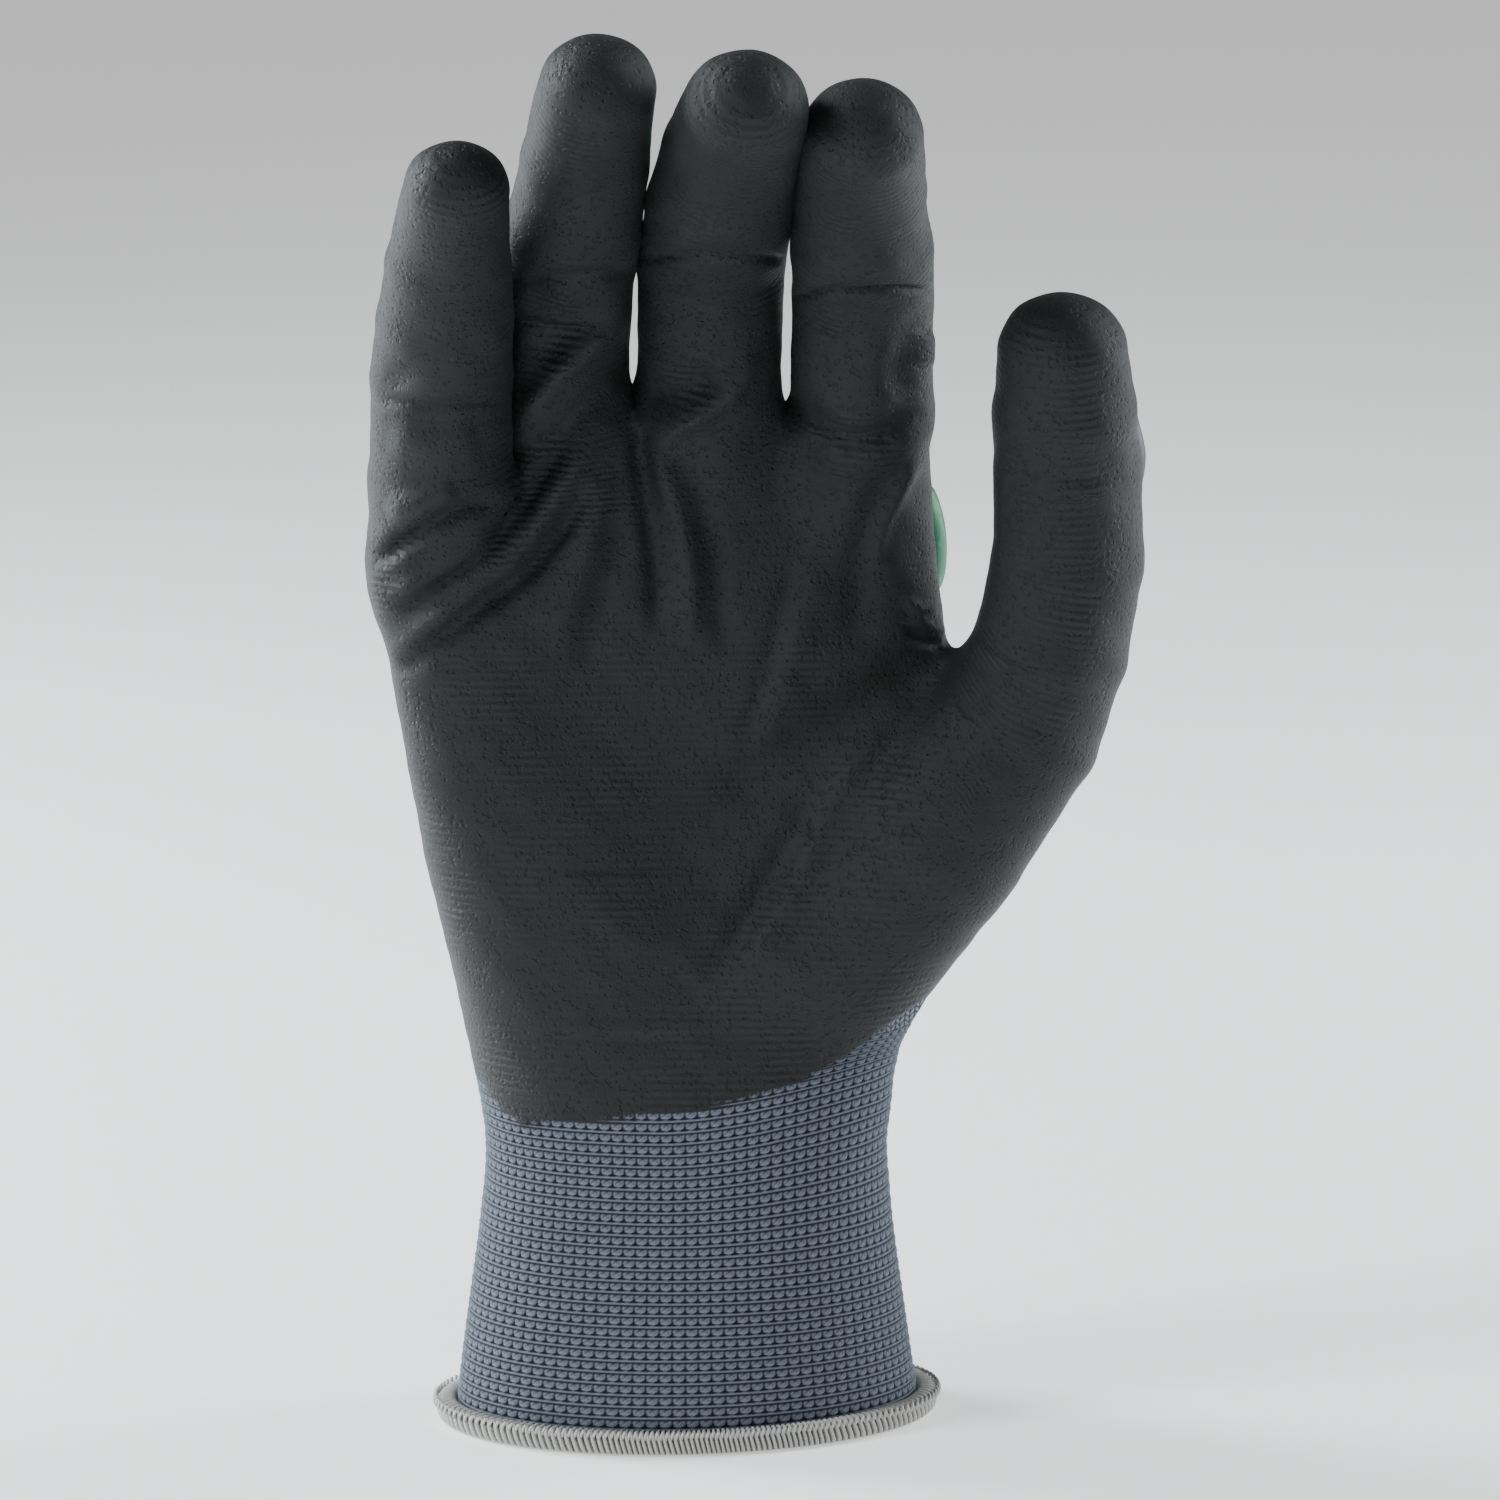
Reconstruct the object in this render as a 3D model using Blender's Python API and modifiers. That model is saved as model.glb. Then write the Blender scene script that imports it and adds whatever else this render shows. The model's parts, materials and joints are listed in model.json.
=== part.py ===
"""Cut resistant work glove for the right hand, as it looks on a relaxed hand.

The glove stands upright on its hem: +Z runs from the hem to the fingertips, the palm faces -Y and the
thumb is on the +X side.  The origin is the middle of the hem's lower face.

A seamless knitted liner carries a dipped foam coating on the palm side and moulded impact pads on the
back.  The real liner and the real coating are each one flexible piece.  Here they are cut at the flex
lines into rigid sections that turn on hinges, and each hinge has an open V between its two sections
so that the finger can close.

Sizes are written in millimetres and turned into metres by MM.
"""
import math

import bmesh
import bpy
from mathutils import Matrix, Vector

MM = 0.001

# Layers, from the hand outwards
LINER_THICKNESS = 0.9
LAYER_GAP = 0.3
COATING_THICKNESS = 0.7
# Section sizes below are the outside of the coating, so the inner surfaces lie back from them
LINER_OFFSET = -LAYER_GAP - COATING_THICKNESS
COATING_OFFSET = -COATING_THICKNESS
PAD_THICKNESS = 2.4
RIB_THICKNESS = 2.0
KNUCKLE_PLATE_THICKNESS = 1.4

# How far round a section each layer reaches to each side: shares of a turn, and degrees for the pads
COATING_REACH = 5 / 16
PALM_COATING_REACH = 11 / 32
PAD_REACH = 48

# Gap left at the side of a hinge, and the spare angle of each V
HINGE_GAP = 0.5
SPARE_ANGLE = 1.5

# Cuff and wrist
HEM_HEIGHT = 3.3
HEM_THICKNESS = 2.2
WRIST_Z = 46.0
WRIST_SWING = 20.0
CUFF_YAW = 8.0
CUFF_SQUARENESS = 2.0
CUFF_RING_SHARES = (0, 0.12, 0.35, 0.68, 1)
# height, half width, half depth
CUFF_SECTIONS = [
    (0.0, 39.4, 25.4),
    (HEM_HEIGHT + LAYER_GAP, 39.2, 25.2),
    (8.0, 37.9, 24.6),
    (16.0, 36.4, 23.9),
    (31.0, 34.3, 22.9),
    (WRIST_Z, 32.9, 22.2),
]

# Palm: height, left edge, right edge, half depth
PALM_SECTIONS = [
    (WRIST_Z, -32.9, 32.9, 22.2),
    (60.0, -34.9, 34.6, 22.0),
    (75.0, -38.4, 38.0, 21.2),
    (90.0, -41.4, 40.6, 20.0),
    (107.0, -44.4, 41.2, 18.6),
    (124.0, -47.4, 41.0, 17.0),
    (138.0, -49.8, 40.0, 15.2),
    (154.0, -51.2, 38.8, 13.6),
]
PALM_SQUARENESS = 2.5
KNUCKLE_TOP = 153.0
KNUCKLE_PEAK_X = 8.0
KNUCKLE_DROP = 0.0043
ARCH_DEPTH = 0.0032
PALM_COATING_Z = 58.0
KNUCKLE_SWING_SLANT = 35.0
# Flex of the fingers at rest that sets the slant of the palm's end on the back
KNUCKLE_REST_FLEX = 18
PALM_STEPS = 7

# Back of the hand: how far the lower and upper edges of each moulding lie below the knuckle line
PLATE_X = (-38.0, 32.6)
PLATE_DROP = (28.0, 4.5)
PLATE_GRID = (12, 4)
KNUCKLE_PADS = {"index": 25.0, "middle": 5.0, "ring": -15.0, "pinky": -33.0}
KNUCKLE_PAD_HALF_WIDTH = 7.2
KNUCKLE_PAD_DROP = (25.0, 7.0)
KNUCKLE_PAD_GRID = (4, 3)
# Between the plate and the pads moulded onto it
PAD_GAP = 0.4
RIB_HALF_WIDTH = 4.2
RIB_DROP = (69.0, 31.0)
RIB_GRID = (3, 4)
# The ribs draw together towards the wrist
RIB_SPREAD = 0.86

# Fingers: knuckle point, sideways lean, turn of the curl towards the thumb, the flex of each bone from
# upright, bone lengths to the middle of the fingertip, and half widths at the four stations
FINGERS = {
    "index": dict(
        knuckle=(27.2, -2.0, 150.0), lean=0.5, turn=3.5, flex=(18, 40, 52),
        bones=(42, 25, 17), widths=(10.8, 10.5, 9.8, 8.8),
    ),
    "middle": dict(
        knuckle=(4.2, 0.0, 153.0), lean=1.0, turn=5.0, flex=(17, 47, 61),
        bones=(45, 29, 19), widths=(10.9, 10.6, 9.9, 9.0),
    ),
    "ring": dict(
        knuckle=(-18.3, -1.0, 150.0), lean=-1.0, turn=6.0, flex=(14, 35, 46),
        bones=(42, 28, 19), widths=(10.7, 10.4, 9.6, 8.8),
    ),
    "pinky": dict(
        knuckle=(-40.2, -6.0, 143.0), lean=-1.5, turn=7.0, flex=(18, 30, 38),
        bones=(36, 23, 18), widths=(10.3, 10.2, 9.3, 8.1),
    ),
}
DEPTH_SHARE = 0.93
# Each finger's pads on the back: colour, and where along the bone each starts and ends
FINGER_GUARDS = [("pad_black", 0.3, 0.76), ("pad_green", 0.27, 0.76), None]
# Rest-to-limit travel of knuckle, middle joint and end joint, towards the palm and back
KNUCKLE_RANGE = (26.0, 45.0)
MIDDLE_RANGE = (27.0, 50.0)
END_SHARE = 0.55

# Thumb: fold line beside the palm, then the two thumb joints and the middle of the tip
FOLD_POINT = (34.0, -5.0, 102.0)
FOLD_HALF_HEIGHT = 28.0
FOLD_HALF_DEPTH = 13.5
FOLD_CLEARANCE = 1.5
CUTTER_REACH = 40.0
FOLD_RANGE = (12.0, 25.0)
THUMB_JOINT = (59.3, -14.0, 132.5)
THUMB_IP = (61.6, -19.5, 162.5)
THUMB_TIP = (60.4, -26.0, 182.6)
THUMB_BULGE = (3.0, 0.0, -4.5)
THUMB_PALMWARD = (-0.3, -0.95, 0.0)
THUMB_WIDTHS = (12.6, 12.0, 10.3)
THUMB_JOINT_RANGE = (8.0, 18.0)
THUMB_IP_RANGE = (8.0, 45.0)
THUMB_IP_REST_FLEX = 8
THUMB_GUARDS = [("pad_black", 0.3, 0.8), ("pad_green", 0.3, 0.95)]
# The root's sections turn by this angle, late, and narrow early, on the way to the thumb's first joint
THUMB_ROOT_TURN = 76
THUMB_ROOT_TURN_POWER = 1.7
THUMB_ROOT_NARROWING_POWER = 0.62
THUMB_ROOT_STATIONS = 5

COLOURS = {
    "knit": (0.16, 0.19, 0.24, 0.9, 0.0),
    "coating": (0.022, 0.024, 0.025, 0.62, 0.0),
    "hem": (0.52, 0.50, 0.47, 0.9, 0.0),
    "pad_black": (0.012, 0.012, 0.013, 0.5, 0.0),
    "pad_green": (0.02, 0.36, 0.14, 0.5, 0.0),
}

COLUMNS = 16
PALM_COLUMNS = 32
CUFF_COLUMNS = 32
PAD_COLUMNS = 6


def clear_scene():
    for thing in list(bpy.data.objects):
        bpy.data.objects.remove(thing, do_unlink=True)


def make_collection(name):
    collection = bpy.data.collections.new(name)
    bpy.context.scene.collection.children.link(collection)
    return collection


def make_material(name, slot):
    red, green, blue, roughness, metallic = COLOURS[slot]
    material = bpy.data.materials.new(name)
    material.use_nodes = True
    shader = material.node_tree.nodes["Principled BSDF"]
    shader.inputs["Base Color"].default_value = (red, green, blue, 1.0)
    shader.inputs["Roughness"].default_value = roughness
    shader.inputs["Metallic"].default_value = metallic
    return material


def slope(angle):
    return math.tan(math.radians(angle))


class Joint:
    """A hinge and the empty that its pieces hang from.

    A positive turn bends a finger towards the palm.  At the thumb's root it opens the thumb away from it.
    """

    def __init__(self, name, point, axis, collection):
        self.point = Vector(point)
        self.axis = Vector(axis).normalized()
        self.empty = bpy.data.objects.new(name, None)
        self.empty.location = self.point * MM
        self.empty.rotation_mode = "QUATERNION"
        self.empty.rotation_quaternion = Vector((0, 0, 1)).rotation_difference(self.axis)
        self.empty.empty_display_size = 10 * MM
        collection.objects.link(self.empty)


def loft(rings, closed, pole=None):
    """An open surface of triangles through rings of points.

    closed joins each ring's two ends, and pole closes the last ring.  Every square is split the same way,
    so that two layers made from the same rings lie evenly over each other.
    """
    mesh = bmesh.new()
    rows = [[mesh.verts.new(point * MM) for point in ring] for ring in rings]
    count = len(rows[0])
    steps = count if closed else count - 1
    for low, high in zip(rows, rows[1:]):
        for i in range(steps):
            j = (i + 1) % count
            mesh.faces.new((low[j], low[i], high[i]))
            mesh.faces.new((low[j], high[i], high[j]))
    if pole is not None:
        top = mesh.verts.new(pole * MM)
        for i in range(steps):
            mesh.faces.new((rows[-1][(i + 1) % count], rows[-1][i], top))
    return mesh


def shell(name, surface, thickness, slot, joint, collection, outwards):
    """Turns an open surface into a closed wall; outwards grows the wall away from the hand."""
    data = bpy.data.meshes.new(name)
    surface.to_mesh(data)
    surface.free()
    thing = bpy.data.objects.new(name, data)
    collection.objects.link(thing)
    if joint is not None:
        data.transform(joint.empty.matrix_basis.inverted())
        thing.parent = joint.empty
    data.materials.append(make_material(name, slot))
    data.shade_smooth()
    data.set_sharp_from_angle(angle=math.radians(40))
    wall = thing.modifiers.new("wall", "SOLIDIFY")
    wall.thickness = thickness * MM
    wall.offset = 1.0 if outwards else -1.0
    wall.use_even_offset = True
    return thing


def round_angles(count):
    """Angles once round a section, starting at the +X side and passing the palm side first."""
    return [-math.tau * i / count for i in range(count)]


def wrap_angles(count, reach):
    """The angles of round_angles that lie within reach of a turn from the palm side."""
    side = round(reach * count)
    return [-math.tau * (count // 4 + i) / count for i in range(-side, side + 1)]


def reach_angles(middle, reach, count):
    """Angles over part of a section: reach degrees to each side of the middle angle."""
    start = middle + math.radians(reach)
    return [start - math.radians(2 * reach) * i / (count - 1) for i in range(count)]


BACK_SIDE = math.pi / 2


class Bone:
    """One straight section of a finger: an elliptical tube from one hinge to the next.

    start and end are the hinge points, across is the hinge axis and palmward points out of the finger
    pad.  start_slants and end_slants are the angles by which the tube's ends lean back from the hinge
    on the palm side and on the back.
    """

    def __init__(self, start, end, across, widths, start_slants, end_slants, tip=False):
        self.start = Vector(start)
        self.along = (Vector(end) - self.start).normalized()
        self.length = (Vector(end) - self.start).length
        self.across = Vector(across).normalized()
        self.palmward = self.across.cross(self.along).normalized()
        self.widths = widths
        self.start_slants = start_slants
        self.end_slants = end_slants
        self.tip = tip

    def half_width(self, share):
        return self.widths[0] + (self.widths[1] - self.widths[0]) * share

    def lean(self, slants, depth):
        return HINGE_GAP + (slope(slants[0]) * depth if depth > 0 else -slope(slants[1]) * depth)

    def point(self, share, angle, offset):
        width = self.half_width(share) + offset
        side = width * math.cos(angle)
        depth = -width * DEPTH_SHARE * math.sin(angle)
        travel = self.length * share
        travel += (1 - share) * self.lean(self.start_slants, depth)
        if not self.tip:
            travel -= share * self.lean(self.end_slants, depth)
        return self.start + self.along * travel + self.across * side + self.palmward * depth

    def dome(self, rise, angle, offset):
        """A point on the rounded fingertip, rise degrees above its widest ring."""
        width = self.widths[1] + offset
        ring = width * math.cos(math.radians(rise))
        height = self.length + width * math.sin(math.radians(rise))
        side = ring * math.cos(angle)
        depth = -ring * DEPTH_SHARE * math.sin(angle)
        return self.start + self.along * height + self.across * side + self.palmward * depth

    def surface(self, angles, shares, offset, closed):
        rings = [[self.point(share, a, offset) for a in angles] for share in shares]
        if not self.tip or shares[-1] < 1:
            return loft(rings, closed)
        rings += [[self.dome(rise, a, offset) for a in angles] for rise in (30, 60)]
        return loft(rings, closed, self.dome(90, 0, offset))


def build_bone(bone, label, joint, collection, guard=None):
    """The liner, the coating and, if asked for, the impact pad of one finger section."""
    shell(
        "liner_" + label, bone.surface(round_angles(COLUMNS), (0, 0.5, 1), LINER_OFFSET, True),
        LINER_THICKNESS, "knit", joint, collection, False,
    )
    wrap = wrap_angles(COLUMNS, COATING_REACH)
    shell(
        "coating_" + label, bone.surface(wrap, (0, 0.5, 1), COATING_OFFSET, False),
        COATING_THICKNESS, "coating", joint, collection, True,
    )
    if guard:
        slot, low, high = guard
        crown = reach_angles(BACK_SIDE, PAD_REACH, PAD_COLUMNS)
        shell(
            "guard_" + label, bone.surface(crown, (low, (low + high) / 2, high), COATING_OFFSET, False),
            PAD_THICKNESS, slot, joint, collection, True,
        )


def v_slants(bend, back_range, fold_range):
    """The two end angles at a hinge whose sections meet at bend degrees at rest."""
    palm = (bend + fold_range) / 2 + SPARE_ANGLE
    back = max(back_range - bend, 0) / 2 + SPARE_ANGLE
    return palm, back


def bone_direction(upward, forward, flex):
    a = math.radians(flex)
    return (upward * math.cos(a) + forward * math.sin(a)).normalized()


def build_finger(name, finger, collection):
    lean = math.radians(finger["lean"])
    turn = math.radians(finger["turn"])
    upward = Vector((math.sin(lean), 0, math.cos(lean)))
    forward = Vector((math.sin(turn), -math.cos(turn), 0))
    forward = (forward - upward * forward.dot(upward)).normalized()
    across = upward.cross(forward)
    points = [Vector(finger["knuckle"])]
    for flex, length in zip(finger["flex"], finger["bones"]):
        points.append(points[-1] + bone_direction(upward, forward, flex) * length)
    first, second, third = finger["flex"]
    slants = [
        v_slants(first, *KNUCKLE_RANGE),
        v_slants(second - first, *MIDDLE_RANGE),
        v_slants(third - second, *[END_SHARE * travel for travel in MIDDLE_RANGE]),
        (0, 0),
    ]
    for i, part in enumerate(("proximal", "middle", "distal")):
        joint = Joint(f"{name}_{part}_pivot", points[i], across, collection)
        bone = Bone(
            points[i], points[i + 1], across, finger["widths"][i:i + 2],
            slants[i], slants[i + 1], tip=part == "distal",
        )
        build_bone(bone, f"{name}_{part}", joint, collection, FINGER_GUARDS[i])


def station(sections, height):
    """The values of a list of sections at a height, along straight lines between them."""
    for low, high in zip(sections, sections[1:]):
        if height <= high[0] or high is sections[-1]:
            share = (height - low[0]) / (high[0] - low[0])
            return [a + (b - a) * share for a, b in zip(low[1:], high[1:])]


def superellipse(angle, half_width, half_depth, squareness):
    x, y = math.cos(angle), math.sin(angle)
    size = (abs(x) ** squareness + abs(y) ** squareness) ** (-1 / squareness)
    return x * size * half_width, y * size * half_depth


def knuckle_height(x):
    return KNUCKLE_TOP - KNUCKLE_DROP * (x - KNUCKLE_PEAK_X) ** 2


def palm_point(height, angle, offset):
    left, right, depth = station(PALM_SECTIONS, height)
    x, y = superellipse(angle, (right - left) / 2 + offset, depth + offset, PALM_SQUARENESS)
    x += (left + right) / 2
    grown = min(max((height - WRIST_Z) / (KNUCKLE_TOP - WRIST_Z), 0), 1)
    y -= ARCH_DEPTH * grown * (x - KNUCKLE_PEAK_X) ** 2
    return Vector((x, y, height))


def palm_ring(share, angles, offset, low=None):
    """A ring of the palm from its lower end, at share 0, to the knuckles, at share 1."""
    back_slant = v_slants(KNUCKLE_REST_FLEX, *KNUCKLE_RANGE)[1]
    ring = []
    for angle in angles:
        flat = palm_point(WRIST_Z, angle, offset)
        bottom = low
        if low is None:
            bottom = WRIST_Z + HINGE_GAP + slope(WRIST_SWING / 2 + SPARE_ANGLE) * abs(flat.y)
        rim = palm_point(KNUCKLE_TOP, angle, offset)
        depth = -ARCH_DEPTH * (rim.x - KNUCKLE_PEAK_X) ** 2 - rim.y
        slant = slope(KNUCKLE_SWING_SLANT) * depth if depth > 0 else -slope(back_slant) * depth
        top = knuckle_height(rim.x) - HINGE_GAP - slant
        ring.append(palm_point(bottom + (top - bottom) * share, angle, offset))
    return ring


def palm_surface(angles, shares, offset, closed, low=None):
    return loft([palm_ring(share, angles, offset, low) for share in shares], closed)


def fold_cutter(collection):
    """The wedge that opens the palm's side for the thumb: a long prism along the fold line."""
    x, y, z = FOLD_POINT
    far = CUTTER_REACH
    palm_lean = slope(FOLD_RANGE[1] / 2 + SPARE_ANGLE) * far
    back_lean = slope(FOLD_RANGE[0] / 2 + SPARE_ANGLE) * far
    outline = [
        (x, y), (x - palm_lean, y - far), (x + far, y - far), (x + far, y + far), (x - back_lean, y + far),
    ]
    mesh = bmesh.new()
    reach = FOLD_HALF_HEIGHT + FOLD_CLEARANCE
    low, high = z - reach, z + reach
    rows = [[mesh.verts.new(Vector((a, b, height)) * MM) for a, b in outline] for height in (low, high)]
    mesh.faces.new(rows[0][::-1])
    mesh.faces.new(rows[1])
    for i in range(len(outline)):
        j = (i + 1) % len(outline)
        mesh.faces.new((rows[0][i], rows[0][j], rows[1][j], rows[1][i]))
    bmesh.ops.recalc_face_normals(mesh, faces=mesh.faces)
    data = bpy.data.meshes.new("thumb_hole_cutter")
    mesh.to_mesh(data)
    mesh.free()
    cutter = bpy.data.objects.new("thumb_hole_cutter", data)
    cutter.display_type = "WIRE"
    cutter.hide_render = True
    collection.objects.link(cutter)
    return cutter


def cut(thing, cutter):
    hole = thing.modifiers.new("thumb hole", "BOOLEAN")
    hole.operation = "DIFFERENCE"
    hole.object = cutter


def build_palm(joint, collection, cutter):
    around = round_angles(PALM_COLUMNS)
    rows = [i / PALM_STEPS for i in range(PALM_STEPS + 1)]
    surface = palm_surface(around, rows, LINER_OFFSET, True)
    liner = shell("liner_palm", surface, LINER_THICKNESS, "knit", joint, collection, False)
    wrap = wrap_angles(PALM_COLUMNS, PALM_COATING_REACH)
    surface = palm_surface(wrap, rows, COATING_OFFSET, False, low=PALM_COATING_Z)
    coating = shell("coating_palm", surface, COATING_THICKNESS, "coating", joint, collection, True)
    cut(liner, cutter)
    cut(coating, cutter)


def back_patch(x_low, x_high, drops, offset, grid):
    """A piece of the palm's back between two x values, with its edges at two drops below the knuckles."""
    columns, rows = grid
    rings = []
    for i in range(rows):
        drop = drops[0] + (drops[1] - drops[0]) * i / (rows - 1)
        ring = []
        for k in range(columns):
            x = x_low + (x_high - x_low) * k / (columns - 1)
            ring.append(back_point(x, knuckle_height(x) - drop, offset))
        rings.append(ring)
    return loft(rings, False)


def back_point(x, height, offset):
    """The point of the palm's back at x, found by halving the angle between its two sides."""
    low, high = 0.02, math.pi - 0.02
    for _ in range(40):
        middle = (low + high) / 2
        if palm_point(height, middle, offset).x > x:
            low = middle
        else:
            high = middle
    return palm_point(height, (low + high) / 2, offset)


def build_back(joint, collection):
    """The moulded guard on the back of the hand: a plate over the knuckles, four pads and four ribs."""
    plate = back_patch(*PLATE_X, PLATE_DROP, COATING_OFFSET, PLATE_GRID)
    shell("knuckle_plate", plate, KNUCKLE_PLATE_THICKNESS, "pad_black", joint, collection, True)
    over = COATING_OFFSET + KNUCKLE_PLATE_THICKNESS + PAD_GAP
    for name, x in KNUCKLE_PADS.items():
        reach = KNUCKLE_PAD_HALF_WIDTH
        pad = back_patch(x - reach, x + reach, KNUCKLE_PAD_DROP, over, KNUCKLE_PAD_GRID)
        shell("knuckle_pad_" + name, pad, PAD_THICKNESS, "pad_green", joint, collection, True)
        centre = x * RIB_SPREAD
        rib = back_patch(centre - RIB_HALF_WIDTH, centre + RIB_HALF_WIDTH, RIB_DROP, COATING_OFFSET, RIB_GRID)
        shell("hand_rib_" + name, rib, RIB_THICKNESS, "pad_black", joint, collection, True)


def thumb_root_section(share, end_along):
    """Centre, sideways axis, palm direction and travel direction of one section of the thumb's root."""
    first, last = Vector(FOLD_POINT), Vector(THUMB_JOINT)
    swing = math.radians(-90 + THUMB_ROOT_TURN * share ** THUMB_ROOT_TURN_POWER)
    across = Vector((math.cos(swing), 0, math.sin(swing)))
    facing = (Vector((0, -1, 0)) * (1 - share) + Vector(THUMB_PALMWARD) * share).normalized()
    facing = (facing - across * facing.dot(across)).normalized()
    along = facing.cross(across)
    if share == 1:
        along = end_along
        across = along.cross(facing).normalized()
        facing = across.cross(along)
    centre = first.lerp(last, share) + Vector(THUMB_BULGE) * math.sin(math.pi * share)
    return centre, across, facing, along


def thumb_root_ring(share, end_along, angles, offset):
    """One ring of the thumb's root; the first and last rings lean back from their hinges."""
    centre, across, facing, along = thumb_root_section(share, end_along)
    end_half_depth = THUMB_WIDTHS[0] * DEPTH_SHARE
    narrowing = share ** THUMB_ROOT_NARROWING_POWER
    half_width = FOLD_HALF_HEIGHT + (THUMB_WIDTHS[0] - FOLD_HALF_HEIGHT) * narrowing
    half_depth = FOLD_HALF_DEPTH + (end_half_depth - FOLD_HALF_DEPTH) * share
    ring = []
    for angle in angles:
        side = (half_width + offset) * math.cos(angle)
        depth = -(half_depth + offset) * math.sin(angle)
        lean = 0.0
        if share in (0, 1):
            palm_slant, back_slant = v_slants(0, *(FOLD_RANGE if share == 0 else THUMB_JOINT_RANGE))
            lean = HINGE_GAP + (slope(palm_slant) * depth if depth > 0 else -slope(back_slant) * depth)
            lean = lean if share == 0 else -lean
        ring.append(centre + across * side + facing * depth + along * lean)
    return ring


def build_thumb_base(joint, collection):
    """The broad root of the thumb: a loft from the long opening in the palm's side to the thumb joint."""
    end_along = (Vector(THUMB_IP) - Vector(THUMB_JOINT)).normalized()
    shares = [i / (THUMB_ROOT_STATIONS - 1) for i in range(THUMB_ROOT_STATIONS)]
    around = round_angles(COLUMNS)
    wrap = wrap_angles(COLUMNS, COATING_REACH)
    liner = loft([thumb_root_ring(share, end_along, around, LINER_OFFSET) for share in shares], True)
    shell("liner_thumb_base", liner, LINER_THICKNESS, "knit", joint, collection, False)
    coating = loft([thumb_root_ring(share, end_along, wrap, COATING_OFFSET) for share in shares], False)
    shell("coating_thumb_base", coating, COATING_THICKNESS, "coating", joint, collection, True)


def build_thumb(collection):
    fold = Joint("thumb_base_pivot", FOLD_POINT, (0, 0, 1), collection)
    build_thumb_base(fold, collection)
    palmward = Vector(THUMB_PALMWARD)
    points = [Vector(p) for p in (THUMB_JOINT, THUMB_IP, THUMB_TIP)]
    slants = [v_slants(0, *THUMB_JOINT_RANGE), v_slants(THUMB_IP_REST_FLEX, *THUMB_IP_RANGE), (0, 0)]
    for i, part in enumerate(("proximal", "distal")):
        along = (points[i + 1] - points[i]).normalized()
        across = along.cross(palmward).normalized()
        joint = Joint(f"thumb_{part}_pivot", points[i], across, collection)
        bone = Bone(
            points[i], points[i + 1], across, THUMB_WIDTHS[i:i + 2],
            slants[i], slants[i + 1], tip=part == "distal",
        )
        build_bone(bone, f"thumb_{part}", joint, collection, THUMB_GUARDS[i])


def cuff_point(height, angle, offset):
    half_width, half_depth = station(CUFF_SECTIONS, height)
    x, y = superellipse(angle, half_width + offset, half_depth + offset, CUFF_SQUARENESS)
    turned = Matrix.Rotation(math.radians(CUFF_YAW) * (1 - height / WRIST_Z), 3, "Z")
    return turned @ Vector((x, y, height))


def build_cuff(collection):
    around = round_angles(CUFF_COLUMNS)
    bottom = HEM_HEIGHT + LAYER_GAP
    rings = []
    for share in CUFF_RING_SHARES:
        ring = []
        for angle in around:
            top = WRIST_Z - HINGE_GAP
            top -= slope(WRIST_SWING / 2 + SPARE_ANGLE) * abs(cuff_point(WRIST_Z, angle, 0).y)
            ring.append(cuff_point(bottom + (top - bottom) * share, angle, 0))
        rings.append(ring)
    shell("liner_cuff", loft(rings, True), LINER_THICKNESS, "knit", None, collection, False)
    rim = [cuff_point(0, angle, 0) for angle in around]
    band = [rim, [point + Vector((0, 0, HEM_HEIGHT)) for point in rim]]
    shell("cuff_hem", loft(band, True), HEM_THICKNESS, "hem", None, collection, True)


def main():
    clear_scene()
    parts = make_collection("cut_resistant_glove")
    cutters = make_collection("cutters")
    build_cuff(parts)
    wrist = Joint("palm_pivot", (0, 0, WRIST_Z), (1, 0, 0), parts)
    build_palm(wrist, parts, fold_cutter(cutters))
    build_back(wrist, parts)
    for name, finger in FINGERS.items():
        build_finger(name, finger, parts)
    build_thumb(parts)


main()
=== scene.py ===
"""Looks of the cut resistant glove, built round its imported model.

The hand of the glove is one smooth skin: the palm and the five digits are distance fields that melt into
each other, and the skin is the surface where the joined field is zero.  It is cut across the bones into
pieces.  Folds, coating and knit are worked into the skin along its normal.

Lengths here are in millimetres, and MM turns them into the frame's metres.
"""
import json
import math

import bpy
import bmesh
import numpy as np
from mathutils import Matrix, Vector


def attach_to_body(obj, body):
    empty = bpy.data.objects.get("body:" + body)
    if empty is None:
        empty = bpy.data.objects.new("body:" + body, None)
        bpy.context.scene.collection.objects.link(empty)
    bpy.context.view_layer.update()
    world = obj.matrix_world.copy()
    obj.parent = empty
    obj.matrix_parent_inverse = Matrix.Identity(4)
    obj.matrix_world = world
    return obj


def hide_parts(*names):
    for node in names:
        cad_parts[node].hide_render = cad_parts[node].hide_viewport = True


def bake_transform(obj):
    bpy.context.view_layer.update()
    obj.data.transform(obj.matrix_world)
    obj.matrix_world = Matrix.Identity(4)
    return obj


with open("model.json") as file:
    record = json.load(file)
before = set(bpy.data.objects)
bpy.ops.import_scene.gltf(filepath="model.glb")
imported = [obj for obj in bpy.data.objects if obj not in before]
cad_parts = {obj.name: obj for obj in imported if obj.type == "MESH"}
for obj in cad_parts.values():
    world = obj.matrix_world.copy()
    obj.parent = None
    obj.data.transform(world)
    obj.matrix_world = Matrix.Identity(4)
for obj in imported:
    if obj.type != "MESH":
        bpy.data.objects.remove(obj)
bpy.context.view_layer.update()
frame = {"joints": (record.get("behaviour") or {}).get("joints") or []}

MM = 0.001
SKIN_STEP = 0.85

JOINTS = {joint["name"]: joint for joint in frame["joints"]}
FINGERS = ("index", "middle", "ring", "pinky")

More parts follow.
